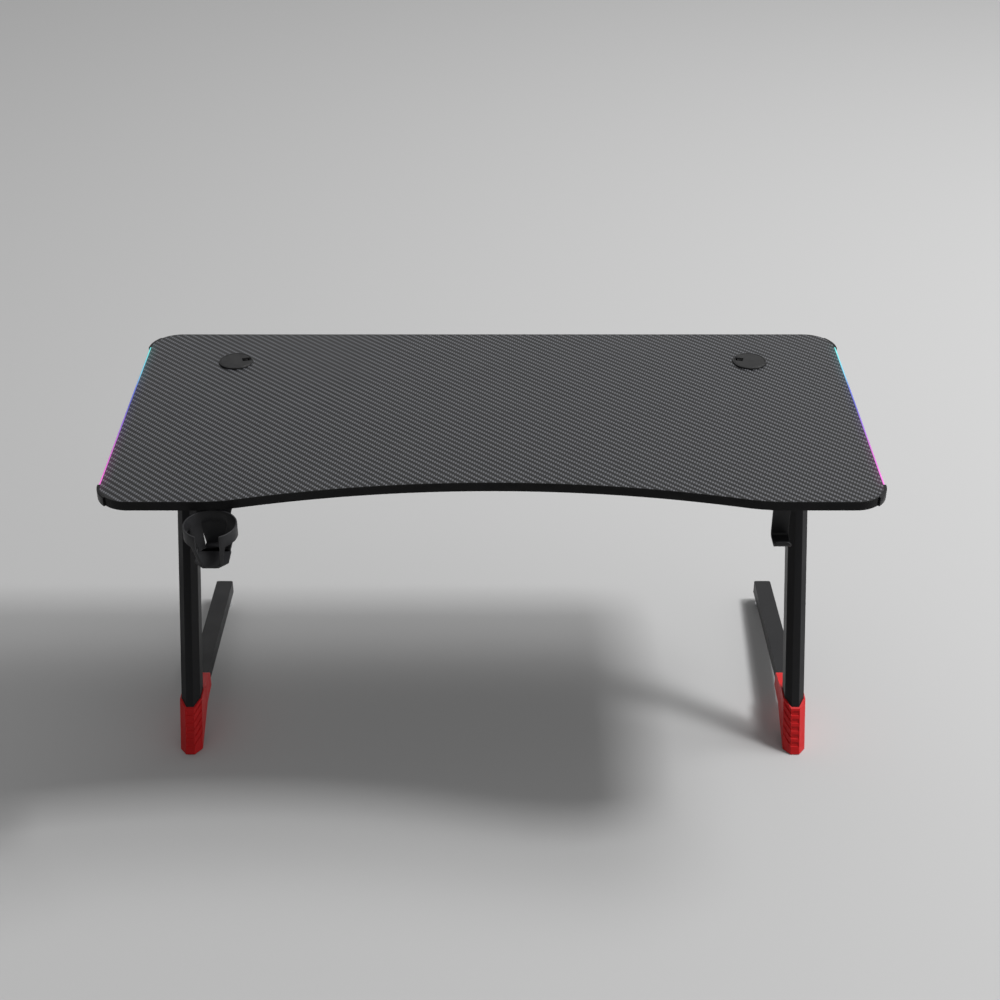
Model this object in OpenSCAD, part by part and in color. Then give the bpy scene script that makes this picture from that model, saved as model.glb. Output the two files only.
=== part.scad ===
// Gaming desk with a concave front edge, glowing side edges, two Z legs in red boots, a cup holder
// and a headphone hook. Millimetres, +Z up, front towards -Y. The origin lies on the floor, under
// the middle of the whole desk.

/* [Desktop] */
// Width over the two side lights
desk_w = 1600; // [1400:10:1800]
// Depth from the straight front edge to the rear edge
desk_d = 750; // [700:10:800]
// Height of the top surface
desk_h = 750; // [700:5:800]
// Thickness with its film
desk_t = 20; // [18:1:25]
// Thickness of the weave-printed film on top
film_t = 1; // [0.6:0.1:1.5]
// Thickness of the edge bands
band_t = 2; // [1:0.5:3]
// Radius of the four corners in plan
corner_r = 68; // [60:1:80]
// Depth of the hollow in the front edge at its middle
hollow_d = 74; // [50:1:90]
// Half the width of the hollow, where its arc would meet the straight front edge
hollow_half = 550; // [500:5:570]
// Radius that blends the hollow into the straight front edge
blend_r = 350; // [200:10:400]

/* [Side lights] */
// Thickness of the diffuser's head, as seen from above
diffuser_t = 3; // [2:0.5:6]
// Chamfer along the diffuser's outer edges
diffuser_chamfer = 0.8; // [0.4:0.1:1.5]
// Reach of the diffuser's two clip legs
leg_reach = 5; // [3:0.5:6]
// Depth of the groove in the desktop's side
groove_d = 12; // [10:1:16]
// Height of the groove
groove_h = 13; // [11:1:14]
// Wall of the light channel in the groove
channel_wall = 1.2; // [0.8:0.1:1.6]
// Width of the light strip
strip_w = 8; // [6:1:9]
// Thickness of the light strip's tape
strip_t = 1; // [0.5:0.1:1.2]
// Side of one square light chip
chip_w = 5; // [3:0.5:5]
// Height of one light chip
chip_t = 1.6; // [1:0.1:2]
// Distance from one light chip to the next
chip_pitch = 33; // [16:1:50]

/* [Corner caps] */
// How far a corner cap stands proud of the desktop's outline
cap_proud = 3.5; // [2:0.5:5]
// How far a corner cap hangs below the desktop
cap_drop = 1.5; // [1:0.1:2.5]
// Chamfer along the cap's outer edges
cap_chamfer = 1.2; // [0.5:0.1:1.4]
// Angle of the corner that a cap wraps
cap_sweep = 45; // [30:1:60]
// Reach of the screw tab below the desktop
cap_tab = 20; // [14:1:28]

/* [Grommets] */
// Distance of a grommet from the desk's side
grommet_in = 210; // [190:5:240]
// Distance of a grommet from the rear edge
grommet_back = 141; // [120:1:180]
// Radius of the flange
flange_r = 39; // [38:0.5:45]
// Height of the flange above the desktop
flange_h = 3.5; // [3:0.1:5]
// Width of the rim round the turning cap
rim_w = 4; // [3:0.5:5]
// Outer radius of the sleeve through the desktop
sleeve_r = 34; // [30:0.5:34]
// Wall of the sleeve
sleeve_wall = 2; // [1.5:0.1:3]
// Length of the sleeve below the top surface
sleeve_len = 23; // [20:1:30]
// Thickness of the turning cap's disc
lid_t = 2.3; // [1.5:0.1:2.5]
// Depth of the skirt below the disc
lid_skirt = 7; // [5:0.5:10]
// Wall of the skirt
lid_skirt_wall = 2; // [1.5:0.1:2.5]
// Width of the cable notch
notch_w = 15; // [12:0.5:18]
// Depth of the cable notch from the disc's edge
notch_d = 20; // [15:0.5:22]
// Turn of the notch towards the rear
notch_turn = 15; // [0:1:45]

/* [Columns] */
// Distance of a leg's middle from the desk's side
leg_in = 110; // [100:5:140]
// Distance of the column's front face behind the straight front edge, at the floor
foot_front = 114.5; // [100:0.5:130]
// Lean of the column towards the rear, from upright
lean = 25.4; // [22:0.1:27]
// Width of the column
column_w = 43; // [40:1:48]
// Depth of the column, square to its length
column_d = 55; // [50:1:60]
// Width of each front bevel
bevel_w = 13.2; // [10:0.2:15]
// Depth of each front bevel
bevel_d = 16; // [12:0.5:20]
// Wall of the steel tubes
tube_t = 1.5; // [1.2:0.1:2.5]
// Height of the column's foot above the floor
foot_z = 9; // [8:0.5:12]

/* [Base beams] */
// Width of a base beam
base_w = 41; // [36:1:43]
// Height of a base beam
base_h = 32; // [28:1:36]
// Distance of its rear end ahead of the desk's rear edge
base_back = 20; // [10:5:60]
// Height of its underside at the rear end
base_under = 23; // [21:0.5:26]
// Fall of the beam towards the rear
base_fall = 4.3; // [3:0.1:5]
// Length of the end plug that shows
plug_l = 5; // [3:0.5:8]
// Corner chamfer of the end plug
plug_chamfer = 3; // [1:0.5:4]
// Length of the end plug inside the tube
plug_in = 12; // [8:1:12]

/* [Boots] */
// Wall of a boot
boot_wall = 3.4; // [2:0.1:4]
// Clearance between a boot and the steel in it
boot_gap = 0.2; // [0.1:0.05:0.3]
// Height of the front face's top edge
boot_front_h = 97; // [95:1:110]
// Height of the side's top edge
boot_side_h = 107; // [100:1:130]
// Length of the sole, from the column's front line
boot_sole = 25; // [20:1:30]
// Distance of the heel's bend behind the sole
boot_heel_l = 100; // [80:1:110]
// Height of the heel's bend
boot_heel_h = 48; // [40:1:50]
// Length of the tongue along the base beam, behind the column
boot_tongue = 85; // [60:1:100]
// Number of ridge grooves
ridge_n = 5; // [3:1:5]
// Distance from one ridge groove to the next
ridge_pitch = 16.3; // [14:0.1:17]
// Height of a ridge groove on the front face
ridge_h = 9.5; // [6:0.5:11]
// Height of a ridge groove on the inner bevel
ridge_bevel_h = 5; // [3:0.5:6]
// Rise of a ridge groove across the inner bevel
ridge_tilt = 44; // [8:1:48]
// Depth of a ridge groove
ridge_d = 1.8; // [0.8:0.1:1.8]
// Height of the lowest ridge groove
ridge_z = 17.5; // [14:0.5:20]
// How far the rubber pad stands out below the sole
pad_proud = 1; // [0.5:0.1:1.5]
// Thickness of the rubber pad
pad_t = 4; // [3:0.5:5]
// Width of the rubber pad
pad_w = 22; // [16:1:28]
// Length of the rubber pad
pad_l = 14; // [10:1:18]

/* [Glides] */
// Radius of a levelling glide's foot
glide_r = 17; // [14:0.5:19]
// Height of the foot
glide_h = 13; // [10:0.5:14]
// Height of the foot's straight rim
glide_rim = 7; // [5:0.5:8]
// Radius of the stem
stem_r = 5; // [4:0.5:6]
// Distance of a glide ahead of the beam's rear end
glide_in = 30; // [25:1:40]
// Radius of the threaded boss under the beam
boss_r = 11; // [9:0.5:13]
// How far the boss stands out below the beam
boss_drop = 3.3; // [1:0.1:5]
// Bevel round the foot's lower edge
glide_edge = 1; // [0.5:0.1:2]
// Height of the lock nut
lock_h = 4.5; // [3:0.5:6]
// Lock nut across its corners
lock_w = 19.6; // [16:0.2:22]

/* [Frame under the desktop] */
// Width of a top beam
beam_w = 50; // [44:1:60]
// Height of a top beam and of the rail end plates
beam_h = 25; // [20:1:30]
// Distance of a top beam's front end behind the straight front edge
beam_front = 60; // [50:5:90]
// Distance of a top beam's rear end ahead of the rear edge
beam_back = 60; // [55:5:90]
// Thickness of the column's top plate
plate_t = 5; // [4:0.5:8]
// Length of the column's top plate
plate_l = 124; // [112:2:140]
// Width of a cross rail
rail_w = 40; // [30:1:50]
// Height of a cross rail
rail_h = 20; // [16:1:20]
// Distance of the front rail behind the straight front edge
rail_front = 200; // [170:5:240]
// Distance of the rear rail ahead of the rear edge
rail_back = 205; // [200:5:230]
// Thickness of the rails' end plates
end_plate_t = 3; // [2:0.5:5]
// Length of the rails' end plates
end_plate_l = 76; // [70:1:90]
// Radius of the big bolts
bolt_r = 4; // [3:0.5:4.5]
// Radius of the small bolts
small_bolt_r = 3; // [2.5:0.5:3.5]
// Radius of the wood screws
screw_r = 2.2; // [1.8:0.1:2.6]
// Depth of the wood screws in the desktop
screw_depth = 14; // [10:0.5:16]

/* [Cup holder] */
// Distance of the cup holder's middle from the desk's side
cup_in = 240; // [200:5:260]
// Distance of the ring's middle ahead of the straight front edge
cup_out = 45; // [42:1:55]
// Outer radius of the ring
cup_r = 54; // [48:1:60]
// Outer radius at the base
cup_base_r = 38; // [36:1:44]
// Wall of the ring and the struts
cup_wall = 3; // [2.5:0.5:4]
// How far the back plate stands behind the ring
cup_plate_back = 1; // [0.5:0.1:2]
// Height of the ring
cup_band_h = 27; // [20:1:32]
// Height of the cone of struts below the ring
cup_cone_h = 50; // [40:1:60]
// Thickness of the base plate
cup_base_t = 4; // [3:0.5:6]
// Half the angle of the open front
cup_front_gap = 27; // [20:1:35]
// Angle that each front strut takes
cup_strut = 12; // [10:1:20]
// Angle from the front at which each rear strut starts
cup_rear_turn = 120; // [105:5:130]
// Angle that each rear strut takes
cup_rear_strut = 30; // [15:5:35]
// Half the width of the base plate
cup_base_half = 34; // [33:0.5:36]
// Width of the back plate at the top
cup_back_w = 74; // [56:1:76]
// Width of the back plate at the base
cup_back_base_w = 42; // [36:1:50]
// Reach of the screw tab below the desktop
cup_tab = 40; // [32:1:50]

/* [Headphone hook] */
// Distance of the hook's middle from the desk's side
hook_in = 214; // [190:2:240]
// Width of the strip
hook_w = 35; // [28:1:40]
// Thickness of the strip
hook_t = 3.5; // [3:0.5:4]
// Distance of the upright's front face behind the straight front edge
hook_back = 17; // [12:1:24]
// Height of the hook from its tab to the underside of its arm
hook_drop = 71; // [60:1:80]
// Reach of the arm ahead of the upright
hook_reach = 46; // [40:1:55]
// Height of the upturned lip above the arm's underside
hook_lip = 14; // [11:0.5:18]
// Inner radius of the bends
hook_bend = 5; // [3:0.5:7]
// Reach of the screw tab below the desktop
hook_tab = 42; // [36:1:50]

/* [Light controller] */
// Distance of the controller's middle from the desk's side
box_in = 380; // [340:5:420]
// Distance of the controller's middle ahead of the rear edge
box_back = 110; // [100:5:120]
// Width of the controller
box_w = 84; // [76:1:96]
// Depth of the controller
box_d = 44; // [40:1:52]
// Height of the controller
box_h = 20; // [18:0.5:24]
// Wall of the cover
box_wall = 2; // [1.5:0.1:2.5]
// Thickness of the base plate
box_base_t = 2.5; // [2:0.1:3]
// Reach of each screw ear
ear_l = 11; // [10:0.5:14]
// Thickness of the circuit board
pcb_t = 1.6; // [1:0.1:2]
// Radius of the button's head
button_r = 6; // [5:0.5:8]
// Travel of the button
button_travel = 1; // [0.5:0.1:1.2]
// How far the button stands out of the cover
button_out = 1.6; // [1.3:0.1:2.5]
// Radius of the power inlet's bore
inlet_r = 2.8; // [2.5:0.1:3]
// Depth of the power inlet's bore
inlet_l = 9; // [8:0.5:10]
// Width of the flat lead to each side light
lead_w = 5; // [4:0.5:6]
// Thickness of the flat lead
lead_t = 2; // [1.5:0.1:2.5]
// Distance of the lead's long run ahead of the rear edge
lead_back = 38; // [34:1:45]

/* [Hidden] */

// Overrun of every cut past the face that it opens
cut = 1;
// Clearance round pieces that drop into a hole
slip = 0.2;
// Clearance of a threaded or turning pin in its bore
run_gap = 0.05;
// Deepest dip of a chord below the arc that it stands for
chord_dip = 0.04;
// Fineness of round solids
$fn = 64;

// Shares: screws and bolts
head_h_share = 1.3;
head_tip_share = 0.7;
hex_w_share = 1.8;
bolt_edge_share = 2.6;
bolt_side_share = 0.28;
// Shares: small forms
riser_share = 0.9;
flange_edge_share = 0.35;
rim_slope_share = 0.33;
lid_edge_share = 0.3;
ledge_share = 0.65;
rim_share = 0.5;
ledge_run_share = 2.4;
glide_top_share = 0.8;
cup_screw_share = 0.6;
hook_screw_share = 0.62;
button_side_share = 0.2;
lead_side_share = 0.17;
stem_share = 0.33;
tip_share = 2.2;
lip_corner_share = 2;
// Turn from one point of the boot tongue's rounded corner to the next
tip_step = 30;

// Colours
black_film = "#2c2d30";
black_plastic = "#1c1c1e";
black_steel = "#232326";
boot_red = "#c22a30";
fibre_brown = "#8a6f52";
rubber_black = "#111111";
bright_metal = "#c9ccd0";
strip_white = "#e8e8e4";
glow_violet = "#8a6cff";
board_green = "#1f5a38";

// Heights
top_z = desk_h;
under_z = desk_h - desk_t;
board_top_z = desk_h - film_t;
beam_z = under_z - beam_h;
plate_z = beam_z - plate_t;

// Places of the pieces, from the middle of the desk and from the straight front edge
half_w = desk_w / 2;
leg_x = half_w - leg_in;
grommet_x = half_w - grommet_in;
cup_x = half_w - cup_in;
hook_x = half_w - hook_in;
box_x = half_w - box_in;
box_y = desk_d - box_back;
lead_y = desk_d - lead_back;
beam_rear = desk_d - beam_back;
rail_rear = desk_d - rail_back;
base_rear = desk_d - base_back;
glide_y = base_rear - glide_in;

// Row Y of the straight front edge: the cup holder's ring is the foremost piece
front_y = (cup_out + cup_r * cos(cup_front_gap) - desk_d) / 2;

// Plan of the hollow front edge: one big arc and a blend at each end
hollow_r = (hollow_half * hollow_half + hollow_d * hollow_d) / (2 * hollow_d);
hollow_c = [0, hollow_d - hollow_r];
blend_c = [sqrt(pow(hollow_r + blend_r, 2) - pow(blend_r - hollow_c[1], 2)), blend_r];
blend_turn = atan2(blend_c[0], blend_r - hollow_c[1]);
corner_x = half_w - corner_r;
cap_inner_r = corner_r - diffuser_t;

// Leaning column
lean_slope = tan(lean);
rear_line = foot_front + column_d / cos(lean);
flat_half = column_w / 2 - bevel_w;
plate_mid = rear_line + lean_slope * plate_z - column_d / cos(lean) / 2;

// Side lights
side_len = desk_d - 2 * corner_r;
groove_x = half_w - diffuser_t - groove_d;
groove_z = under_z + (desk_t - groove_h) / 2;
strip_x = groove_x + channel_wall;
riser_r = lead_t * riser_share;
riser_x = strip_x + riser_r + slip;
riser_y = desk_d - corner_r - 2 * lead_w;

// Wood screws
head_r = 2 * screw_r;
head_h = head_h_share * screw_r;

function arc_steps(r, turn) = max(1, ceil(abs(turn) / (2 * acos(1 - chord_dip / r))));
function arc(c, r, a0, a1) =
    let (n = arc_steps(r, a1 - a0))
    [for (i = [0 : n]) let (a = a0 + (a1 - a0) * i / n) c + r * [cos(a), sin(a)]];
function mirrored(points) = [for (i = [len(points) - 1 : -1 : 1]) [-points[i][0], points[i][1]]];
function backwards(points) = [for (i = [len(points) - 1 : -1 : 0]) points[i]];

// Right half of the front edge, from the middle to the corner cap
function front_run(inset) = concat(
    arc(hollow_c, hollow_r + inset, 90, 90 - blend_turn),
    arc(blend_c, blend_r - inset, 270 - blend_turn, 270),
    arc([corner_x, corner_r], corner_r - inset, 270, 360 - cap_sweep)
);
// Right half of the rear edge, from the middle to the corner cap
function rear_run(inset) = concat(
    [[0, desk_d - inset]],
    backwards(arc([corner_x, desk_d - corner_r], corner_r - inset, cap_sweep, 90))
);
function both_sides(run) = concat(mirrored(run), run);

// Outline of the board and its film: inside the bands, the corner caps and the side lights
function board_half() = concat(
    front_run(band_t),
    arc([corner_x, corner_r], cap_inner_r, 360 - cap_sweep, 360),
    arc([corner_x, desk_d - corner_r], cap_inner_r, 0, cap_sweep),
    backwards(rear_run(band_t))
);
module board_outline() {
    right = board_half();
    polygon(concat(right, [for (i = [len(right) - 2 : -1 : 1]) [-right[i][0], right[i][1]]]));
}

// Moves children so that y = 0 is the straight front edge
module from_front() translate([0, front_y, 0]) children();
// Children drawn for the right are mirrored to the left
module to_left() mirror([1, 0, 0]) children();
module on_both_sides() {
    children();
    to_left() children();
}
module at_grommet() translate([grommet_x, desk_d - grommet_back, top_z]) children();

// Places of the wood screws that hold the frame: along each top beam and each rail
beam_screw_ys = [
    beam_front + beam_w, rail_front + end_plate_l, plate_mid - plate_l / 2 - beam_h, beam_rear - beam_w
];
rail_screw_x = leg_x / 2;
module at_frame_screws() {
    on_both_sides() {
        for (y = beam_screw_ys) translate([leg_x, y, under_z]) children();
        for (y = [rail_front, rail_rear]) translate([rail_screw_x, y, under_z]) children();
    }
}
module at_cap_screws() {
    tab_r = cap_inner_r - cap_tab / 2;
    for (front = [0, 1]) {
        corner = [corner_x, front == 1 ? corner_r : desk_d - corner_r];
        turn = front == 1 ? -cap_sweep / 2 : cap_sweep / 2;
        place = corner + tab_r * [cos(turn), sin(turn)];
        on_both_sides() translate([place[0], place[1], under_z]) children();
    }
}
cup_screw_x = cup_back_w / 4;
cup_plate_y = cup_r + cup_plate_back;
module at_cup_screws() {
    for (x = [-cup_screw_x, cup_screw_x])
        translate([x - cup_x, cup_plate_y - cup_out + cup_tab * cup_screw_share, under_z]) children();
}
module at_hook_screws() {
    for (x = [-hook_w / 4, hook_w / 4])
        translate([hook_x + x, hook_back + hook_tab * hook_screw_share, under_z]) children();
}
module at_ear_screws() {
    for (side = [-1, 1])
        translate([box_x + side * (box_w + ear_l) / 2, box_y, under_z]) children();
}

// A wood screw under a tab: its head below z = -grip, its point up in the wood
module wood_screw(grip) {
    translate([0, 0, -grip - head_h]) cylinder(r1 = head_r * head_tip_share, r2 = head_r, h = head_h);
    translate([0, 0, -grip - head_h / 2]) cylinder(r = screw_r, h = grip + head_h / 2 + screw_depth);
}
module screw_pilot() translate([0, 0, -cut]) cylinder(r = screw_r + run_gap, h = cut + screw_depth + slip);
module screw_way(grip) translate([0, 0, -grip - cut]) cylinder(r = screw_r + slip, h = grip + 2 * cut);

// Desktop
module side_grooves() {
    on_both_sides()
        translate([groove_x, corner_r, groove_z]) cube([groove_d + diffuser_t + cut, side_len, groove_h]);
}
module riser_holes() {
    on_both_sides() translate([riser_x, riser_y, under_z - cut])
        cylinder(r = riser_r + slip / 2, h = desk_t / 2);
}
module desktop_board() {
    color(fibre_brown) from_front() difference() {
        translate([0, 0, under_z]) linear_extrude(desk_t - film_t) board_outline();
        side_grooves();
        riser_holes();
        on_both_sides() at_grommet() translate([0, 0, -desk_t - cut])
            cylinder(r = sleeve_r + slip, h = desk_t + 2 * cut);
        at_frame_screws() screw_pilot();
        at_cap_screws() screw_pilot();
        at_cup_screws() screw_pilot();
        at_hook_screws() screw_pilot();
        at_ear_screws() screw_pilot();
    }
}
module top_laminate() {
    color(black_film) from_front() difference() {
        translate([0, 0, board_top_z]) linear_extrude(film_t) board_outline();
        on_both_sides() at_grommet() translate([0, 0, -desk_t])
            cylinder(r = sleeve_r + slip, h = desk_t + cut);
    }
}
module edge_band(outer, inner) {
    color(black_plastic) from_front() translate([0, 0, under_z]) linear_extrude(desk_t)
        polygon(concat(both_sides(outer), backwards(both_sides(inner))));
}
module edge_band_front() edge_band(front_run(0), front_run(band_t));
module edge_band_rear() edge_band(rear_run(0), rear_run(band_t));

// Side lights
module light_base() {
    color(black_plastic) from_front() difference() {
        translate([groove_x, corner_r, groove_z]) cube([groove_d, side_len, groove_h]);
        translate([strip_x, corner_r - cut, groove_z + channel_wall])
            cube([groove_d, side_len + 2 * cut, groove_h - 2 * channel_wall]);
        translate([riser_x, riser_y, under_z]) cylinder(r = riser_r + slip / 2, h = desk_t / 2);
    }
}
module led_strip() {
    mid_z = groove_z + groove_h / 2;
    chips = floor((side_len - chip_pitch) / chip_pitch);
    color(strip_white) from_front() {
        translate([strip_x, corner_r + slip, mid_z - strip_w / 2])
            cube([strip_t, side_len - 2 * slip, strip_w]);
        for (i = [0 : chips])
            translate([strip_x, desk_d / 2 + (i - chips / 2) * chip_pitch - chip_w / 2, mid_z - chip_w / 2])
                cube([strip_t + chip_t, chip_w, chip_w]);
    }
}
module light_diffuser() {
    c = diffuser_chamfer;
    leg_x0 = half_w - diffuser_t - leg_reach;
    color(glow_violet) from_front() {
        translate([0, corner_r + side_len, 0]) rotate([90, 0, 0]) linear_extrude(side_len) polygon([
            [half_w - diffuser_t, under_z], [half_w - c, under_z], [half_w, under_z + c],
            [half_w, top_z - c], [half_w - c, top_z], [half_w - diffuser_t, top_z]
        ]);
        for (z = [groove_z + channel_wall, groove_z + groove_h - 2 * channel_wall])
            translate([leg_x0, corner_r, z]) cube([leg_reach + diffuser_t / 2, side_len, channel_wall]);
    }
}
module light_base_left() to_left() light_base();
module light_base_right() light_base();
module led_strip_left() to_left() led_strip();
module led_strip_right() led_strip();
module light_diffuser_left() to_left() light_diffuser();
module light_diffuser_right() light_diffuser();

// Corner caps: a chamfered rim round the corner, with a screw tab below the board
module corner_cap(at_front) {
    outer = corner_r + cap_proud;
    low = under_z - cap_drop;
    c = cap_chamfer;
    tab_r = cap_inner_r - cap_tab / 2;
    color(black_plastic) from_front()
        translate([corner_x, at_front ? corner_r : desk_d - corner_r, 0])
            rotate([0, 0, at_front ? -cap_sweep : 0]) difference() {
                rotate_extrude(angle = cap_sweep) polygon([
                    [cap_inner_r - cap_tab, low], [outer - c, low], [outer, low + c], [outer, top_z - c],
                    [outer - c, top_z], [cap_inner_r, top_z], [cap_inner_r, under_z],
                    [cap_inner_r - cap_tab, under_z]
                ]);
                rotate([0, 0, cap_sweep / 2]) translate([tab_r, 0, under_z]) screw_way(cap_drop);
            }
}
module corner_cap_front_left() to_left() corner_cap(true);
module corner_cap_front_right() corner_cap(true);
module corner_cap_rear_left() to_left() corner_cap(false);
module corner_cap_rear_right() corner_cap(false);
module corner_cap_screws() color(bright_metal) from_front() at_cap_screws() wood_screw(cap_drop);

// Cable grommets: a flanged sleeve, and a cap that turns on the ledge inside its rim
ledge_z = flange_h - lid_t - slip;
lid_r = flange_r - rim_w - slip;
lid_edge = lid_t * lid_edge_share;
bore_r = sleeve_r - sleeve_wall;
module grommet_ring() {
    color(black_plastic) from_front() at_grommet() rotate_extrude() polygon([
        [bore_r, -sleeve_len], [sleeve_r, -sleeve_len], [sleeve_r, 0], [flange_r, 0],
        [flange_r, flange_h * flange_edge_share], [flange_r - rim_w * rim_slope_share, flange_h],
        [flange_r - rim_w, flange_h],
        [flange_r - rim_w, ledge_z], [bore_r, ledge_z]
    ]);
}
module grommet_cap() {
    color(black_plastic) from_front() at_grommet() rotate([0, 0, 180 - notch_turn]) difference() {
        rotate_extrude() polygon([
            [0, ledge_z], [bore_r - slip - lid_skirt_wall, ledge_z],
            [bore_r - slip - lid_skirt_wall, -lid_skirt],
            [bore_r - slip, -lid_skirt], [bore_r - slip, ledge_z], [lid_r, ledge_z],
            [lid_r, ledge_z + lid_t - lid_edge], [lid_r - lid_edge, ledge_z + lid_t], [0, ledge_z + lid_t]
        ]);
        translate([lid_r - notch_d, -notch_w / 2, -desk_t]) cube([notch_d + cut, notch_w, 2 * desk_t]);
    }
}
module grommet_ring_left() to_left() grommet_ring();
module grommet_ring_right() grommet_ring();
module grommet_cap_left() to_left() grommet_cap();
module grommet_cap_right() grommet_cap();

// Square tubes and end plugs
module tube(size, wall, along) {
    hollow = [for (i = [0 : 2]) i == along ? size[i] + 2 * cut : size[i] - 2 * wall];
    shift = [for (i = [0 : 2]) i == along ? -cut : wall];
    difference() {
        cube(size);
        translate(shift) cube(hollow);
    }
}
module top_beam() {
    color(black_steel) from_front() difference() {
        translate([leg_x - beam_w / 2, beam_front, beam_z])
            tube([beam_w, beam_rear - beam_front, beam_h], tube_t, 1);
        for (y = beam_screw_ys) translate([leg_x, y, under_z]) {
            screw_way(tube_t);
            translate([0, 0, -beam_h - cut]) cylinder(r = head_r + tube_t, h = tube_t + 2 * cut);
        }
        at_plate_bolts() translate([0, 0, plate_t - cut])
            cylinder(r = bolt_r + run_gap, h = tube_t + 2 * cut);
        for (y = [rail_front, rail_rear]) at_rail_bolts(y)
            rotate([0, 90, 0]) translate([0, 0, -cut])
                cylinder(r = small_bolt_r + run_gap, h = tube_t + 2 * cut);
    }
}
module top_beam_plugs() {
    color(black_plastic) from_front() {
        for (front = [0, 1]) {
            y = front == 1 ? beam_front : beam_rear;
            out_y = front == 1 ? y - end_plate_t : y;
            in_y = front == 1 ? y - end_plate_t / 2 : y + end_plate_t / 2 - plug_in;
            translate([leg_x - beam_w / 2, out_y, beam_z]) cube([beam_w, end_plate_t, beam_h]);
            translate([leg_x - beam_w / 2 + tube_t + slip, in_y, beam_z + tube_t + slip])
                cube([beam_w - 2 * (tube_t + slip), plug_in, beam_h - 2 * (tube_t + slip)]);
        }
    }
}
module top_beam_left() to_left() top_beam();
module top_beam_right() top_beam();
module top_beam_plugs_left() to_left() top_beam_plugs();
module top_beam_plugs_right() top_beam_plugs();

// Section of the column, drawn in by t: a front flat, two bevels and straight sides
function section(t, depth) =
    let (slant = norm([bevel_w, bevel_d]), half = column_w / 2)
    let (fx = flat_half - t * (slant - bevel_w) / bevel_d, by = bevel_d + t * (slant - bevel_d) / bevel_w)
    [[-fx, t], [fx, t], [half - t, by], [half - t, depth - t], [t - half, depth - t], [t - half, by]];

// Children along the column: z runs up its front face, y goes square into it
module leaning() translate([leg_x, foot_front, 0]) rotate([-lean, 0, 0]) children();
module leaning_bar(t, depth) {
    leaning() translate([0, 0, -desk_h]) linear_extrude(3 * desk_h) polygon(section(t, depth));
}
module level_slab(z0, z1) translate([0, -desk_d, z0]) cube([desk_w, 3 * desk_d, z1 - z0]);
function rear_y(z) = rear_line + lean_slope * z;

module column() {
    color(black_steel) from_front() intersection() {
        difference() {
            leaning_bar(0, column_d);
            leaning_bar(tube_t, column_d);
        }
        level_slab(foot_z, plate_z);
    }
}
bolt_step = plate_l / 2 - bolt_edge_share * bolt_r;
module at_plate_bolts() {
    for (x = [-1, 1], y = [-1, 1])
        translate([leg_x + x * beam_w * bolt_side_share, plate_mid + y * bolt_step, plate_z]) children();
}
module column_top_plate() {
    color(black_steel) from_front() difference() {
        translate([leg_x - beam_w / 2, plate_mid - plate_l / 2, plate_z]) cube([beam_w, plate_l, plate_t]);
        at_plate_bolts() translate([0, 0, -cut]) cylinder(r = bolt_r + slip, h = plate_t + 2 * cut);
    }
}
module column_left() to_left() column();
module column_right() column();
module column_top_plate_left() to_left() column_top_plate();
module column_top_plate_right() column_top_plate();

// Base beam: falls to the rear, welded to the column's rear face
fall_slope = tan(base_fall);
base_v = base_h / cos(base_fall);
base_rear_top = base_under + base_v;
function base_z(y, drop) = base_rear_top - drop + fall_slope * (base_rear - y);
// Y where the beam's line at that drop meets the column's rear face
function base_start(drop) = (rear_line + lean_slope * base_z(0, drop)) / (1 + lean_slope * fall_slope);
function base_side(t, sink, rear) =
    let (top_y = base_start(t) - sink, low_y = base_start(base_v - t) - sink)
    [[low_y, base_z(low_y, base_v - t)], [rear, base_z(rear, base_v - t)], [rear, base_z(rear, t)],
     [top_y, base_z(top_y, t)]];
// A side view, points as [y, z], as a slab of that width about the leg's middle
module side_slab(width, points) {
    translate([leg_x - width / 2, 0, 0]) rotate([90, 0, 90]) linear_extrude(width) polygon(points);
}
boss_z = base_z(glide_y, base_v) - boss_drop;
module base_beam() {
    color(black_steel) from_front() difference() {
        union() {
            difference() {
                side_slab(base_w, base_side(0, 0, base_rear - plug_l));
                side_slab(base_w - 2 * tube_t, base_side(tube_t, column_d, base_rear + cut));
            }
            translate([leg_x, glide_y, boss_z]) cylinder(r = boss_r, h = base_h / 2);
        }
        translate([leg_x, glide_y, 0]) cylinder(r = stem_r + run_gap, h = base_h / 2 + boss_z + cut);
    }
}
module base_beam_plug() {
    half = base_w / 2;
    c = plug_chamfer;
    in_t = tube_t + slip;
    color(black_plastic) from_front() {
        intersection() {
            side_slab(base_w, base_side(0, 0, base_rear));
            translate([leg_x, base_rear - plug_l, -base_h]) linear_extrude(4 * base_h) polygon([
                [-half, 0], [half, 0], [half, plug_l - c], [half - c, plug_l],
                [c - half, plug_l], [-half, plug_l - c]
            ]);
        }
        intersection() {
            side_slab(base_w - 2 * in_t, base_side(in_t, 0, base_rear - plug_l / 2));
            translate([leg_x - half, base_rear - plug_l - plug_in, -base_h])
                cube([base_w, 2 * plug_in, 4 * base_h]);
        }
    }
}
module base_beam_left() to_left() base_beam();
module base_beam_right() base_beam();
module base_beam_plug_left() to_left() base_beam_plug();
module base_beam_plug_right() base_beam_plug();

// Boot: a ridged shoe round the column's foot, with a tongue along the base beam
boot_o = boot_wall + boot_gap;
tongue_y = base_start(0) + boot_tongue;
tip_r = boot_wall * tip_share;
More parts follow.
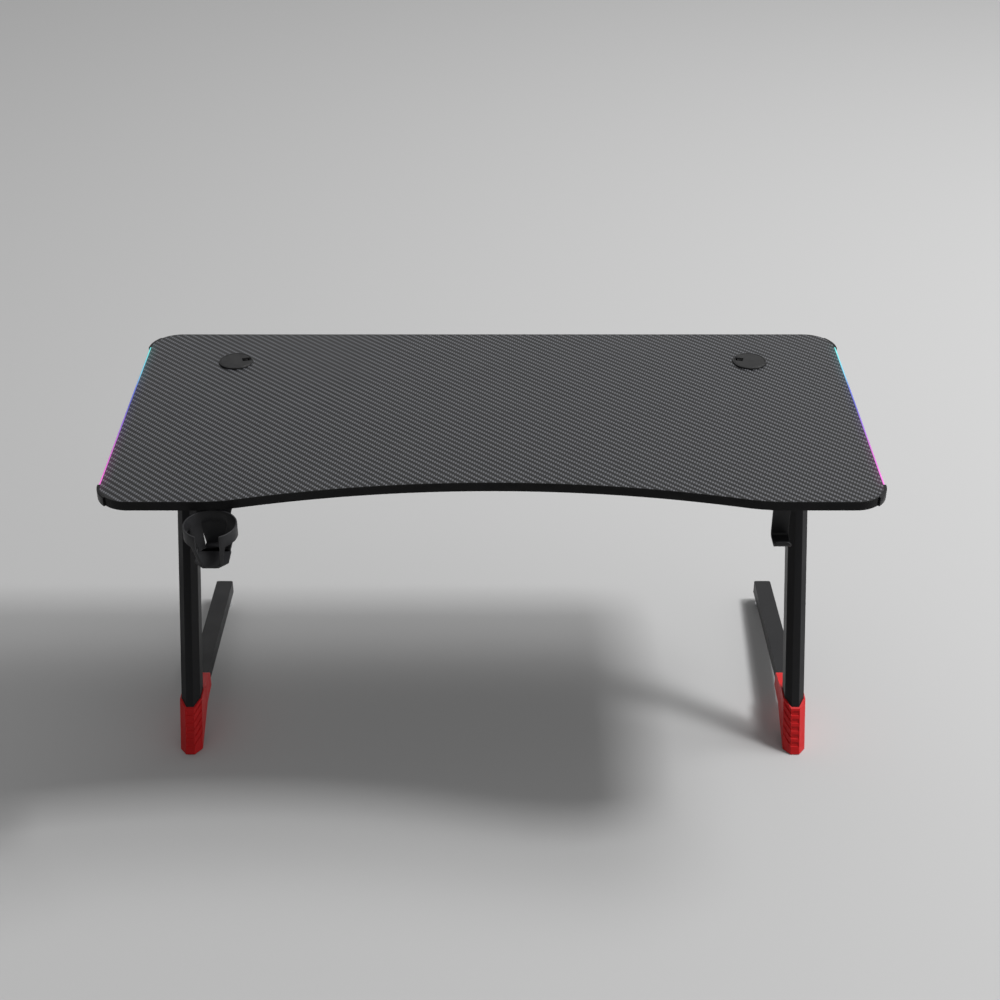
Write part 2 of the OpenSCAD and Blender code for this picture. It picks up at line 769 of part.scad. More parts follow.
// Point at angle a of the tongue's rounded upper corner
function tongue_tip(a) =
    let (y = tongue_y - tip_r * (1 - cos(a)))
    [y, base_z(y, tip_r * (1 - sin(a)) - boot_o)];
function boot_side() =
    let (sole_y = foot_front + boot_sole, back = boot_o / cos(lean), toe_y = foot_front - 2 * boot_o)
    // The ledge behind the column stays above the tongue
    let (ledge = max(boot_side_h - bevel_w * ledge_share, base_z(base_start(0), -boot_o) + slip))
    let (rim = max(boot_side_h - rim_share * boot_o, ledge + slip), top = max(boot_side_h, rim + slip))
    // The top falls to the front as one plane
    let (front_top_y = foot_front + lean_slope * boot_front_h - back,
         side_top_y = foot_front + lean_slope * top + bevel_d / cos(lean) - boot_o)
    let (top_slope = (top - boot_front_h) / (side_top_y - front_top_y))
    [
        [toe_y, pad_proud], [sole_y, pad_proud],
        [sole_y + boot_heel_l, boot_heel_h], [tongue_y, base_z(tongue_y, base_v + boot_o)],
        for (a = [0 : tip_step : 90]) tongue_tip(a), [rear_y(ledge) + ledge_run_share * back, ledge],
        [rear_y(rim) + back, rim], [side_top_y, top], [toe_y, boot_front_h - top_slope * (front_top_y - toe_y)]
    ];
module boot_grooves() {
    bevel_end = bevel_d - boot_o / 2;
    rise = column_w * tan(ridge_tilt);
    for (i = [0 : ridge_n - 1]) {
        z = ridge_z + i * ridge_pitch;
        difference() {
            translate([leg_x - flat_half, foot_front - column_d, z])
                cube([2 * flat_half, 3 * column_d, ridge_h]);
            leaning_bar(ridge_d - boot_o, 2 * column_d);
        }
        difference() {
            intersection() {
                translate([leg_x - flat_half, desk_d, z]) rotate([90, 0, 0]) linear_extrude(desk_d) polygon([
                    [-column_w, rise], [0, 0], [cut / 2, 0], [cut / 2, ridge_bevel_h], [0, ridge_bevel_h],
                    [-column_w, rise + ridge_bevel_h]
                ]);
                leaning() translate([-column_w, -column_w, 0])
                    cube([2 * column_w, column_w + bevel_end, desk_h]);
            }
            leaning_bar(ridge_d - boot_o, 2 * column_d);
        }
    }
}
module boot() {
    color(boot_red) from_front() difference() {
        intersection() {
            side_slab(2 * column_w, boot_side());
            leaning_bar(-boot_o, desk_d);
        }
        intersection() {
            leaning_bar(-boot_gap, column_d);
            level_slab(foot_z, desk_h);
        }
        side_slab(base_w + 2 * boot_gap, base_side(-boot_gap, boot_wall, base_rear));
        boot_grooves();
        pad_block();
    }
}
module pad_block() {
    translate([leg_x - pad_w / 2, foot_front + slip + (boot_sole - pad_l) / 2, 0])
        cube([pad_w, pad_l, pad_t]);
}
module boot_pad() color(rubber_black) from_front() pad_block();
module boot_left() to_left() boot();
module boot_right() boot();
module boot_pad_left() to_left() boot_pad();
module boot_pad_right() boot_pad();

// Levelling glide under the rear end of the base beam, and its lock nut
module glide() {
    color(bright_metal) from_front() translate([leg_x, glide_y, 0]) {
        rotate_extrude() polygon([
            [0, 0], [glide_r - glide_edge, 0], [glide_r, glide_edge], [glide_r, glide_rim],
            [glide_r * glide_top_share, glide_h], [0, glide_h]
        ]);
        cylinder(r = stem_r, h = boss_z + base_h / 2);
    }
}
module glide_nut() {
    color(bright_metal) from_front() translate([leg_x, glide_y, boss_z - lock_h]) difference() {
        cylinder(d = lock_w, h = lock_h, $fn = 6);
        translate([0, 0, -cut]) cylinder(r = stem_r + run_gap, h = lock_h + 2 * cut);
    }
}
module glide_left() to_left() glide();
module glide_right() glide();
module glide_nut_left() to_left() glide_nut();
module glide_nut_right() glide_nut();

// Cross rails, their end plates, and the bolts of the frame
rail_half = leg_x - beam_w / 2 - end_plate_t;
module rail(y) {
    color(black_steel) from_front() difference() {
        translate([-rail_half, y - rail_w / 2, under_z - rail_h])
            tube([2 * rail_half, rail_w, rail_h], tube_t, 0);
        on_both_sides() translate([rail_screw_x, y, under_z]) {
            screw_way(tube_t);
            translate([0, 0, -rail_h - cut]) cylinder(r = head_r + tube_t, h = tube_t + 2 * cut);
        }
    }
}
module front_rail() rail(rail_front);
module rear_rail() rail(rail_rear);
module at_rail_bolts(y) {
    bolt_y = (rail_w + end_plate_l) / 4;
    for (side = [-1, 1])
        translate([leg_x - beam_w / 2, y + side * bolt_y, beam_z + beam_h / 2]) children();
}
module rail_brackets() {
    color(black_steel) from_front() on_both_sides() for (y = [rail_front, rail_rear]) difference() {
        translate([rail_half, y - end_plate_l / 2, beam_z]) cube([end_plate_t, end_plate_l, beam_h]);
        at_rail_bolts(y) rotate([0, 90, 0]) translate([0, 0, -end_plate_t - cut])
            cylinder(r = small_bolt_r + slip, h = end_plate_t + 2 * cut);
    }
}
// A hexagon bolt: head below z = 0, shank up
module hex_bolt(r, grip) {
    head = head_h_share * r;
    translate([0, 0, -head]) cylinder(r = hex_w_share * r, h = head, $fn = 6);
    translate([0, 0, -head / 2]) cylinder(r = r, h = head / 2 + grip + 2 * r);
}
module frame_bolts() {
    color(bright_metal) from_front() {
        at_plate_bolts() hex_bolt(bolt_r, plate_t + tube_t);
        for (y = [rail_front, rail_rear]) at_rail_bolts(y)
            rotate([0, 90, 0]) translate([0, 0, -end_plate_t]) hex_bolt(small_bolt_r, end_plate_t + tube_t);
    }
}
module frame_bolts_left() to_left() frame_bolts();
module frame_bolts_right() frame_bolts();
module desktop_screws() color(bright_metal) from_front() at_frame_screws() wood_screw(tube_t);

// Cup holder: an open ring on a back plate, four struts that lean in, and an eight-sided base plate
cup_band_top = -cup_wall;
cup_band_low = cup_band_top - cup_band_h;
cup_low = cup_band_low - cup_cone_h;
// Half the turn between two corners of the eight-sided base plate
cup_turn = 22.5;
// Half-width of the back plate at height z below the desktop
function cup_back_half(z) = cup_back_w / 2 + (cup_back_base_w - cup_back_w) / 2 * z / cup_low;
function cup_wedge(a0, a1) = concat([[0, 0]], arc([0, 0], 2 * cup_r, a0 - 90, a1 - 90));
// Base plate and its link to the back plate, seen from above
function cup_base_outline() =
    let (flat = cup_base_r * tan(cup_turn), side = cup_base_half, half = cup_back_base_w / 2)
    let (slant = cup_base_r + flat, right = [
        [flat, -cup_base_r], [side, side - slant], [side, slant - side],
        [half, min(cup_base_r, slant - half)], [half, cup_plate_y - cup_wall / 2]
    ])
    concat(right, [for (i = [len(right) - 1 : -1 : 0]) [-right[i][0], right[i][1]]]);
module cup_cone(inset) {
    translate([0, 0, cup_low]) cylinder(r1 = cup_base_r - inset, r2 = cup_r - inset, h = cup_cone_h);
}
module cup_strut_piece(a0, a1) {
    intersection() {
        difference() {
            cup_cone(0);
            cup_cone(cup_wall);
        }
        translate([0, 0, cup_low]) linear_extrude(cup_cone_h) polygon(cup_wedge(a0, a1));
    }
}
module cup_holder() {
    tab_rear = cup_plate_y + cup_tab;
    tab_corner = 2 * cup_wall;
    half = cup_back_w / 2;
    strut_end = cup_front_gap + cup_strut;
    rear_end = cup_rear_turn + cup_rear_strut;
    color(black_plastic) from_front() translate([-cup_x, -cup_out, under_z]) difference() {
        union() {
            // Ring, open at the front
            difference() {
                translate([0, 0, cup_band_low]) cylinder(r = cup_r, h = cup_band_h);
                translate([0, 0, cup_band_low - cut])
                    cylinder(r = cup_r - cup_wall, h = cup_band_h + 2 * cut);
                translate([0, 0, cup_band_low - cut]) linear_extrude(cup_band_h + 2 * cut)
                    polygon(cup_wedge(-cup_front_gap, cup_front_gap));
            }
            cup_strut_piece(cup_front_gap, strut_end);
            cup_strut_piece(-strut_end, -cup_front_gap);
            cup_strut_piece(cup_rear_turn, rear_end);
            cup_strut_piece(-rear_end, -cup_rear_turn);
            // Base plate
            translate([0, 0, cup_low - cup_base_t]) linear_extrude(cup_base_t) polygon(cup_base_outline());
            // Back plate, wider towards the desktop
            translate([0, cup_plate_y, 0]) rotate([90, 0, 0]) linear_extrude(cup_wall) polygon([
                [-cup_back_half(cup_low - cup_base_t), cup_low - cup_base_t],
                [cup_back_half(cup_low - cup_base_t), cup_low - cup_base_t],
                [cup_back_half(0), 0], [-cup_back_half(0), 0]
            ]);
            // Screw tab below the desktop
            translate([0, 0, -cup_wall]) linear_extrude(cup_wall) polygon([
                [-half, cup_plate_y - cup_wall / 2], [half, cup_plate_y - cup_wall / 2],
                [half, tab_rear - tab_corner],
                [half - tab_corner, tab_rear], [tab_corner - half, tab_rear], [-half, tab_rear - tab_corner]
            ]);
        }
        translate([cup_x, cup_out, -under_z]) at_cup_screws() screw_way(cup_wall);
    }
}
module cup_holder_screws() color(bright_metal) from_front() at_cup_screws() wood_screw(cup_wall);

// Headphone hook: one strip, bent three times
function hook_outline() =
    let (t = hook_t, r = hook_bend, low = under_z - hook_drop, lip_y = hook_back - hook_reach)
    let (tab_c = [hook_back + t + r, under_z - t - r], arm_c = [hook_back - r, low + t + r],
         lip_c = [lip_y + t + r, low + t + r])
    concat(
        [[hook_back + hook_tab, under_z]], arc(tab_c, r + t, 90, 180), arc(arm_c, r, 360, 270),
        arc(lip_c, r, 270, 180), [[lip_y + t, low + hook_lip], [lip_y, low + hook_lip]],
        arc(lip_c, r + t, 180, 270), arc(arm_c, r + t, 270, 360), arc(tab_c, r, 180, 90),
        [[hook_back + hook_tab, under_z - t]]
    );
module headphone_hook() {
    half = hook_w / 2;
    corner = lip_corner_share * hook_t;
    color(black_steel) from_front() difference() {
        translate([hook_x - half, 0, 0]) rotate([90, 0, 90]) linear_extrude(hook_w) polygon(hook_outline());
        at_hook_screws() screw_way(hook_t);
        // Slanted corners of the lip
        for (side = [-1, 1]) translate([hook_x, hook_back - hook_reach + hook_t + cut, under_z - hook_drop + hook_lip])
            rotate([90, 0, 0]) linear_extrude(hook_t + 2 * cut)
            polygon([[side * (half - corner), cut], [side * (half - corner), 0], [side * half, -corner],
                     [side * (half + cut), -corner], [side * (half + cut), cut]]);
    }
}
module headphone_hook_screws() color(bright_metal) from_front() at_hook_screws() wood_screw(hook_t);

// Light controller
box_low = under_z - box_h;
base_low = under_z - box_base_t;
flange_t = 1;
flange_w = 1.4;
stem_l = 3.2;
switch_w = 6;
switch_h = 3.5;
pcb_low = box_low + box_wall + flange_t + stem_l + button_travel + slip + switch_h;
pcb_top = pcb_low + pcb_t;
post_r = 3.5;
box_screw_r = 1.4;
box_corner = 7;
button_x = box_x - box_w * button_side_share;
inlet_x = box_x + box_w * button_side_share;
inlet_half = (pcb_low - box_low - box_wall - slip) / 2;
inlet_z = pcb_low - inlet_half;
inlet_face = box_y + box_d / 2;
lead_start_x = box_w * lead_side_share;
module at_box_screws() {
    for (side = [-1, 1])
        translate([box_x + side * (box_w / 2 - box_corner), box_y + side * (box_d / 2 - box_corner), 0])
            children();
}
module controller_base() {
    color(black_plastic) from_front() difference() {
        union() {
            translate([box_x - box_w / 2 - ear_l, box_y - box_d / 2, base_low])
                cube([box_w + 2 * ear_l, box_d, box_base_t]);
            at_box_screws() translate([0, 0, pcb_top])
                cylinder(r = post_r, h = base_low - pcb_top + box_base_t / 2);
        }
        at_ear_screws() screw_way(box_base_t);
        at_box_screws() translate([0, 0, pcb_top - cut])
            cylinder(r = box_screw_r + run_gap, h = base_low - pcb_top + cut);
    }
}
module controller_cover() {
    inner = [box_w - 2 * box_wall, box_d - 2 * box_wall];
    color(black_plastic) from_front() difference() {
        union() {
            difference() {
                translate([box_x - box_w / 2, box_y - box_d / 2, box_low])
                    cube([box_w, box_d, base_low - box_low]);
                translate([box_x - inner[0] / 2, box_y - inner[1] / 2, box_low + box_wall])
                    cube([inner[0], inner[1], box_h]);
            }
            at_box_screws() translate([0, 0, box_low]) cylinder(r = post_r, h = pcb_low - box_low);
        }
        at_box_screws() translate([0, 0, box_low - cut])
            cylinder(r = box_screw_r + slip, h = pcb_low - box_low + 2 * cut);
        translate([button_x, box_y, box_low - cut]) cylinder(r = button_r + slip, h = box_wall + 2 * cut);
        translate([inlet_x, inlet_face + cut, inlet_z]) rotate([90, 0, 0])
            cylinder(r = inlet_r + flange_t + slip, h = box_wall + 2 * cut);
    }
}
module controller_board() {
    color(board_green) from_front() difference() {
        union() {
            translate([box_x - box_w / 2 + box_wall + slip, box_y - box_d / 2 + box_wall + slip, pcb_low])
                cube([box_w - 2 * (box_wall + slip), box_d - 2 * (box_wall + slip), pcb_t]);
            translate([button_x - switch_w / 2, box_y - switch_w / 2, pcb_low - switch_h])
                cube([switch_w, switch_w, switch_h + pcb_t / 2]);
        }
        at_box_screws() translate([0, 0, pcb_low - cut])
            cylinder(r = box_screw_r + slip, h = pcb_t + 2 * cut);
    }
}
module controller_button() {
    color(black_plastic) from_front() translate([button_x, box_y, box_low]) rotate_extrude() polygon([
        [0, -button_out], [button_r - flange_t / 2, -button_out], [button_r, flange_t / 2 - button_out],
        [button_r, box_wall], [button_r + flange_w, box_wall], [button_r + flange_w, box_wall + flange_t],
        [switch_w * stem_share, box_wall + flange_t], [switch_w * stem_share, box_wall + flange_t + stem_l],
        [0, box_wall + flange_t + stem_l]
    ]);
}
module controller_inlet() {
    half = inlet_half;
    color(black_plastic) from_front() difference() {
        union() {
            translate([inlet_x - half, inlet_face - box_wall - slip - inlet_l, inlet_z - half])
                cube([2 * half, inlet_l, 2 * half]);
            translate([inlet_x, inlet_face, inlet_z]) rotate([90, 0, 0])
                cylinder(r = inlet_r + flange_t, h = box_wall + inlet_l / 2);
        }
        translate([inlet_x, inlet_face + cut, inlet_z]) rotate([90, 0, 0])
            cylinder(r = inlet_r, h = inlet_l + cut);
    }
}
module controller_screws() {
    color(bright_metal) from_front() {
        at_ear_screws() wood_screw(box_base_t);
        at_box_screws() {
            translate([0, 0, box_low - box_screw_r]) cylinder(r = 2 * box_screw_r, h = box_screw_r);
            translate([0, 0, box_low - box_screw_r / 2]) cylinder(r = box_screw_r, h = base_low - box_low);
        }
    }
}
// A flat lead below the desktop, round the end of the top beam, and its riser to the light strip
module light_lead(start_x) {
    turn_x = leg_x + beam_w;
    start_y = box_y + box_d / 2;
    half = lead_w / 2;
    color(black_plastic) from_front() {
        translate([0, 0, under_z - lead_t]) linear_extrude(lead_t) {
            translate([start_x - half, start_y]) square([lead_w, lead_y + half - start_y]);
            translate([start_x - half, lead_y - half]) square([turn_x - start_x + lead_w, lead_w]);
            translate([turn_x - half, riser_y - half]) square([lead_w, lead_y - riser_y + lead_w]);
            translate([turn_x - half, riser_y - half]) square([riser_x + riser_r - turn_x + half, lead_w]);
        }
        translate([riser_x, riser_y, under_z - lead_t / 2])
            cylinder(r = riser_r, h = lead_t / 2 + (desk_t - strip_w) / 2);
    }
}
module light_lead_left() to_left() light_lead(lead_start_x - box_x);
module light_lead_right() light_lead(box_x + lead_start_x);

desktop_board();
top_laminate();
edge_band_front();
edge_band_rear();
light_base_left();
light_base_right();
led_strip_left();
led_strip_right();
light_diffuser_left();
light_diffuser_right();
corner_cap_front_left();
corner_cap_front_right();
corner_cap_rear_left();
corner_cap_rear_right();
corner_cap_screws();
grommet_ring_left();
grommet_ring_right();
grommet_cap_left();
grommet_cap_right();
top_beam_left();
top_beam_right();
top_beam_plugs_left();
top_beam_plugs_right();
column_left();
column_right();
column_top_plate_left();
column_top_plate_right();
base_beam_left();
base_beam_right();
base_beam_plug_left();
base_beam_plug_right();
boot_left();
boot_right();
boot_pad_left();
boot_pad_right();
glide_left();
glide_right();
glide_nut_left();
glide_nut_right();
front_rail();
rear_rail();
rail_brackets();
frame_bolts_left();
frame_bolts_right();
desktop_screws();
cup_holder();
cup_holder_screws();
headphone_hook();
headphone_hook_screws();
controller_base();
controller_cover();
controller_board();
controller_button();
controller_inlet();
controller_screws();
light_lead_left();
light_lead_right();
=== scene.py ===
"""Finishes, rounded edges and small details of a gaming desk, built around its CAD model."""

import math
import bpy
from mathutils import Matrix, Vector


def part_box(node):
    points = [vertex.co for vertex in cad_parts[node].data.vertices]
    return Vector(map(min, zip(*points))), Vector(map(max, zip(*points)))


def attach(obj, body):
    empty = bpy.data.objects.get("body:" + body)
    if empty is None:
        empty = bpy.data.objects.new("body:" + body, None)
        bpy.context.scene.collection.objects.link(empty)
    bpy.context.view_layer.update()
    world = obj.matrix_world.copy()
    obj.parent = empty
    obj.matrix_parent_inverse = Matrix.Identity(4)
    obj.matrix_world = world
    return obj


bl_info = {
    "name": "Gaming desk finishes",
    "version": (1, 0, 0),
    "blender": (4, 5, 0),
    "location": "3D View > Sidebar > Desk",
    "description": "Weave film, coat, plastics, side lights, weld beads and lead clips of a gaming desk",
    "category": "Object",
}

import bmesh
import bpy
from mathutils import Matrix, Vector

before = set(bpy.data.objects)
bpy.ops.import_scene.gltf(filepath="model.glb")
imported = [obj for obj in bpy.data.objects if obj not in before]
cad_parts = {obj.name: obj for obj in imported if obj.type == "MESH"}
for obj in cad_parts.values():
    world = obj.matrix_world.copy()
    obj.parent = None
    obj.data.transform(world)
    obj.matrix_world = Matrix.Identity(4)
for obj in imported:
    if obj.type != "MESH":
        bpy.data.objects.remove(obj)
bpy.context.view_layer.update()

MM = 0.001
SIDES = ("left", "right")


def facts():
    """Places that the details are set out from, read from the CAD nodes: the desktop's underside, half its
    width, and both ends of a side light."""
    return {
        "under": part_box("desktop_board")[0].z,
        "half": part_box("light_diffuser_right")[1].x,
        "light_front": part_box("light_diffuser_right")[0].y,
        "light_rear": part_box("light_diffuser_right")[1].y,
    }


FACTS = facts()

# Radii of the small roundings on the moulded pieces and the hook
SKIN_ROUND = 0.5 * MM
GROMMET_ROUND = 0.3 * MM
PLUG_ROUND = 0.6 * MM
BOX_ROUND = 0.8 * MM
CLIP_ROUND = 0.3 * MM
# Range in which most values of a noise lie
SPREAD = (0.3, 0.7)


def linear(hex_colour):
    """An sRGB hex colour as the linear RGBA that a shader takes, by the standard sRGB curve."""
    values = [int(hex_colour[i:i + 2], 16) / 255 for i in (1, 3, 5)]
    return [v / 12.92 if v <= 0.04045 else ((v + 0.055) / 1.055) ** 2.4 for v in values] + [1.0]


def tone(hex_colour):
    """The same colour as a plain RGB triple, for a colour property's default."""
    return linear(hex_colour)[:3]


def rgba(colour):
    """A colour property's RGB triple as the RGBA that a shader takes."""
    return [*colour, 1.0]


def paled(colour, gain, lift):
    """A paler colour: each channel times gain plus lift, so that black pales too."""
    return [min(1, c * gain + lift) for c in colour[:3]] + [1]


def put(tree, kind, feeds=(), out=0, **settings):
    """Adds a node and returns one of its outputs. settings are its own; feeds gives its sockets, in order or
    by name or number, a value or another node's output."""
    node = tree.nodes.new(kind)
    for key, value in settings.items():
        setattr(node, key, value)
    for key, value in (feeds.items() if isinstance(feeds, dict) else enumerate(feeds)):
        if isinstance(value, bpy.types.NodeSocket):
            tree.links.new(value, node.inputs[key])
        else:
            node.inputs[key].default_value = value
    return node.outputs[out]


# Kinds of node. A mix takes its share at 0, numbers at 2 and 3, and colours at 6 and 7, whose mix leaves at 2
COORD, MAP, NOISE = "ShaderNodeTexCoord", "ShaderNodeMapping", "ShaderNodeTexNoise"
SPLIT, MATH, MIX = "ShaderNodeSeparateXYZ", "ShaderNodeMath", "ShaderNodeMix"
RANGE, BUMP, VECTOR = "ShaderNodeMapRange", "ShaderNodeBump", "ShaderNodeVectorMath"
GEOMETRY = "ShaderNodeNewGeometry"


def speckle(tree, size_mm, detail=2.0, roughness=0.5, stretch=(1, 1, 1)):
    """Noise in the piece's own coordinates, whose grains are about that many millimetres across."""
    place = put(tree, COORD, out="Object")
    spread = put(tree, MAP, {0: place, 3: [1 / s for s in stretch]})
    return put(tree, NOISE, {"Vector": spread, "Scale": 1 / (size_mm * MM), "Detail": detail,
                             "Roughness": roughness}, out="Fac")


def worn_edges(tree, reach_mm):
    """1 on the edges of a piece and 0 on its flats, from the shader's own rounded normal."""
    # Cosines of the turn from the flat at which wear starts and is full
    starts, full = 0.995, 0.9
    rounded = put(tree, "ShaderNodeBevel", {0: reach_mm * MM}, samples=4)
    flat = put(tree, GEOMETRY, out="Normal")
    turn = put(tree, VECTOR, (rounded, flat), out="Value", operation="DOT_PRODUCT")
    return put(tree, RANGE, (turn, starts, full, 0, 1))


def new_material(name, colour, roughness, ior=1.5, metallic=0.0):
    """A material with its shader's constant sockets set; returns it, its tree and the shader."""
    material = bpy.data.materials.new(name)
    material.use_nodes = True
    tree = material.node_tree
    shader = tree.nodes["Principled BSDF"]
    values = {"Base Color": colour, "Roughness": roughness, "Metallic": metallic}
    if not metallic:
        values["IOR"] = ior
    for key, value in values.items():
        shader.inputs[key].default_value = value
    material.diffuse_color = colour
    return material, tree, shader


def raise_surface(tree, shader, height, distance_mm, strength=1.0):
    """Feeds a height into the shader's normal."""
    bumped = put(tree, BUMP, {"Height": height, "Distance": distance_mm * MM, "Strength": strength})
    tree.links.new(bumped, shader.inputs["Normal"])


def moulded_plastic(name, hex_colour, roughness, grain_mm=0.9, grain_depth_mm=0.05, wear=0.25, ior=1.4):
    """Plastic from a spark-eroded tool: its fine even grain softens the reflections, and it is slightly paler
    in patches and on the edges, where hands rub it."""
    handled_mm, rubbed_mm, gloss_mm, edge_mm = 60, 14, 25, 1.2
    base = linear(hex_colour)
    material, tree, shader = new_material(name, base, roughness, ior=ior)
    worn = put(tree, RANGE, (speckle(tree, handled_mm, 3), 0.4, 0.7, 0, 1))
    skin = put(tree, MIX, {0: worn, 6: base, 7: paled(base, 1 + wear, 0.002)}, out=2, data_type="RGBA")
    rubbed = put(tree, MATH, (worn_edges(tree, edge_mm), speckle(tree, rubbed_mm, 4)), operation="MULTIPLY")
    edge = paled(base, 1 + 2 * wear, 0.006)
    tree.links.new(put(tree, MIX, {0: rubbed, 6: skin, 7: edge}, out=2, data_type="RGBA"),
                   shader.inputs["Base Color"])
    gloss = speckle(tree, gloss_mm, 4)
    tree.links.new(put(tree, RANGE, (gloss, *SPREAD, roughness - 0.06, roughness + 0.08)),
                   shader.inputs["Roughness"])
    raise_surface(tree, shader, speckle(tree, grain_mm, 3, 0.6), grain_depth_mm)
    return material


def powder_coat(name, hex_colour, roughness):
    """Polyester powder coat on steel: its orange peel breaks the sheen to satin, and its rubbed edges are
    grey, so that each bend of the steel shows."""
    # Flecks of 0.3 mm in the real coat are drawn 0.7 mm wide so that they show
    fleck_mm, rubbed_mm, gloss_mm, peel_mm, edge_mm = 0.7, 9, 90, 2.2, 0.9
    base = linear(hex_colour)
    material, tree, shader = new_material(name, base, roughness, ior=1.36)
    fleck = put(tree, RANGE, (speckle(tree, fleck_mm, 1, 0.5), 0.55, 0.75, 0, 1))
    skin = put(tree, MIX, {0: fleck, 6: base, 7: paled(base, 1.5, 0.004)}, out=2, data_type="RGBA")
    spots = speckle(tree, rubbed_mm, 5, 0.7)
    rubbed = put(tree, MATH, (worn_edges(tree, edge_mm), spots), operation="MULTIPLY")
    tree.links.new(put(tree, MIX, {0: rubbed, 6: skin, 7: linear("#4a4a4e")}, out=2, data_type="RGBA"),
                   shader.inputs["Base Color"])
    gloss = speckle(tree, gloss_mm, 4)
    tree.links.new(put(tree, RANGE, (gloss, *SPREAD, roughness - 0.05, roughness + 0.07)),
                   shader.inputs["Roughness"])
    raise_surface(tree, shader, speckle(tree, peel_mm, 2, 0.45), 0.06)
    return material


def zinc_plate(name):
    """Bright zinc plate on cold-formed steel: pale, slightly blue, with a fine drawn grain."""
    material, tree, shader = new_material(name, linear("#c4c8cc"), 0.3, metallic=1.0)
    clouds = put(tree, RANGE, (speckle(tree, 6, 4), *SPREAD, 0, 1))
    skin = put(tree, MIX, {0: clouds, 6: linear("#b4b8bd"), 7: linear("#d6d8da")}, out=2, data_type="RGBA")
    tree.links.new(skin, shader.inputs["Base Color"])
    tree.links.new(put(tree, RANGE, (speckle(tree, 3, 3), *SPREAD, 0.24, 0.42)), shader.inputs["Roughness"])
    raise_surface(tree, shader, speckle(tree, 0.8, 2, 0.5, (1, 1, 6)), 0.03)
    return material


def chrome_plate(name):
    """Chromium plate on a turned foot: near mirror, with faint turning lines."""
    material, tree, shader = new_material(name, linear("#dcdee0"), 0.12, metallic=1.0)
    tree.links.new(put(tree, RANGE, (speckle(tree, 12, 4), *SPREAD, 0.08, 0.2)), shader.inputs["Roughness"])
    raise_surface(tree, shader, speckle(tree, 0.7, 1, 0.5, (8, 8, 1)), 0.01)
    return material


def rubber(name):
    """Black natural rubber: dull, with a coarse dusty grain."""
    material, tree, shader = new_material(name, linear("#151516"), 0.85, ior=1.52)
    dust = put(tree, RANGE, (speckle(tree, 3, 4), 0.45, 0.7, 0, 1))
    skin = put(tree, MIX, {0: dust, 6: linear("#131314"), 7: linear("#242425")}, out=2, data_type="RGBA")
    tree.links.new(skin, shader.inputs["Base Color"])
    raise_surface(tree, shader, speckle(tree, 0.6, 3, 0.7), 0.08)
    return material


def backed_fibreboard(name):
    """Medium-density fibreboard: dull sanded brown fibres where it is cut, and black backing paper, so that
    the underside is dark and even."""
    material, tree, shader = new_material(name, linear("#8f7453"), 0.85, ior=1.45)
    # Fibres of 0.1 mm are drawn 1.2 mm wide so that they show
    fibres = speckle(tree, 1.2, 5, 0.7, (3, 1, 1))
    lit = put(tree, RANGE, (fibres, 0.35, 0.65, 0, 1))
    shade = put(tree, MIX, {0: lit, 6: linear("#7a6145"), 7: linear("#a78a64")}, out=2, data_type="RGBA")
    clouds = put(tree, RANGE, (speckle(tree, 40, 3), *SPREAD, 0, 0.35))
    sawn = put(tree, MIX, {0: clouds, 6: shade, 7: linear("#98805e")}, out=2, data_type="RGBA")
    paper = put(tree, MIX, {0: put(tree, RANGE, (speckle(tree, 5, 4, 0.6), 0.35, 0.7, 0, 1)),
                            6: linear("#161617"), 7: linear("#222223")}, out=2, data_type="RGBA")
    # The paper lies on faces that look down at the board's lowest level
    height = put(tree, SPLIT, (put(tree, COORD, out="Object"),), out="Z")
    down = put(tree, SPLIT, (put(tree, GEOMETRY, out="Normal"),), out="Z")
    low = put(tree, MATH, (height, FACTS["under"] + 0.1 * MM), operation="LESS_THAN")
    faces_down = put(tree, MATH, (down, -0.9), operation="LESS_THAN")
    papered = put(tree, MATH, (low, faces_down), operation="MULTIPLY")
    tree.links.new(put(tree, MIX, {0: papered, 6: sawn, 7: paper}, out=2, data_type="RGBA"),
                   shader.inputs["Base Color"])
    tree.links.new(put(tree, RANGE, (papered, 0, 1, 0.85, 0.6)), shader.inputs["Roughness"])
    raise_surface(tree, shader, fibres, 0.08)
    return material


class DeskFinish(bpy.types.PropertyGroup):
    """Colours and pattern sizes of the desk's surfaces"""

    tow_x: bpy.props.FloatProperty(
        name="Tow width across", description="Width of one woven tow along the desk", default=4.825 * MM,
        min=1 * MM, max=20 * MM, unit="LENGTH", precision=5)
    tow_y: bpy.props.FloatProperty(
        name="Tow width in depth", description="Width of one woven tow from front to rear", default=4.5 * MM,
        min=1 * MM, max=20 * MM, unit="LENGTH", precision=5)
    dark_tow: bpy.props.FloatVectorProperty(
        name="Dark tow", description="Colour of the tows that run along the desk", default=tone("#101113"),
        size=3, min=0, max=1, subtype="COLOR")
    pale_tow: bpy.props.FloatVectorProperty(
        name="Pale tow", description="Colour of the tows that run from front to rear",
        default=tone("#646569"), size=3, min=0, max=1, subtype="COLOR")
    edge_round: bpy.props.FloatProperty(
        name="Edge rounding", description="Radius of the small bevel on the edges of the steel frame",
        default=0.6 * MM, min=0, max=2 * MM, unit="LENGTH", precision=5)
    bead: bpy.props.FloatProperty(
        name="Weld bead", description="Radius of the weld beads", default=2 * MM, min=0.5 * MM, max=5 * MM,
        unit="LENGTH", precision=5)


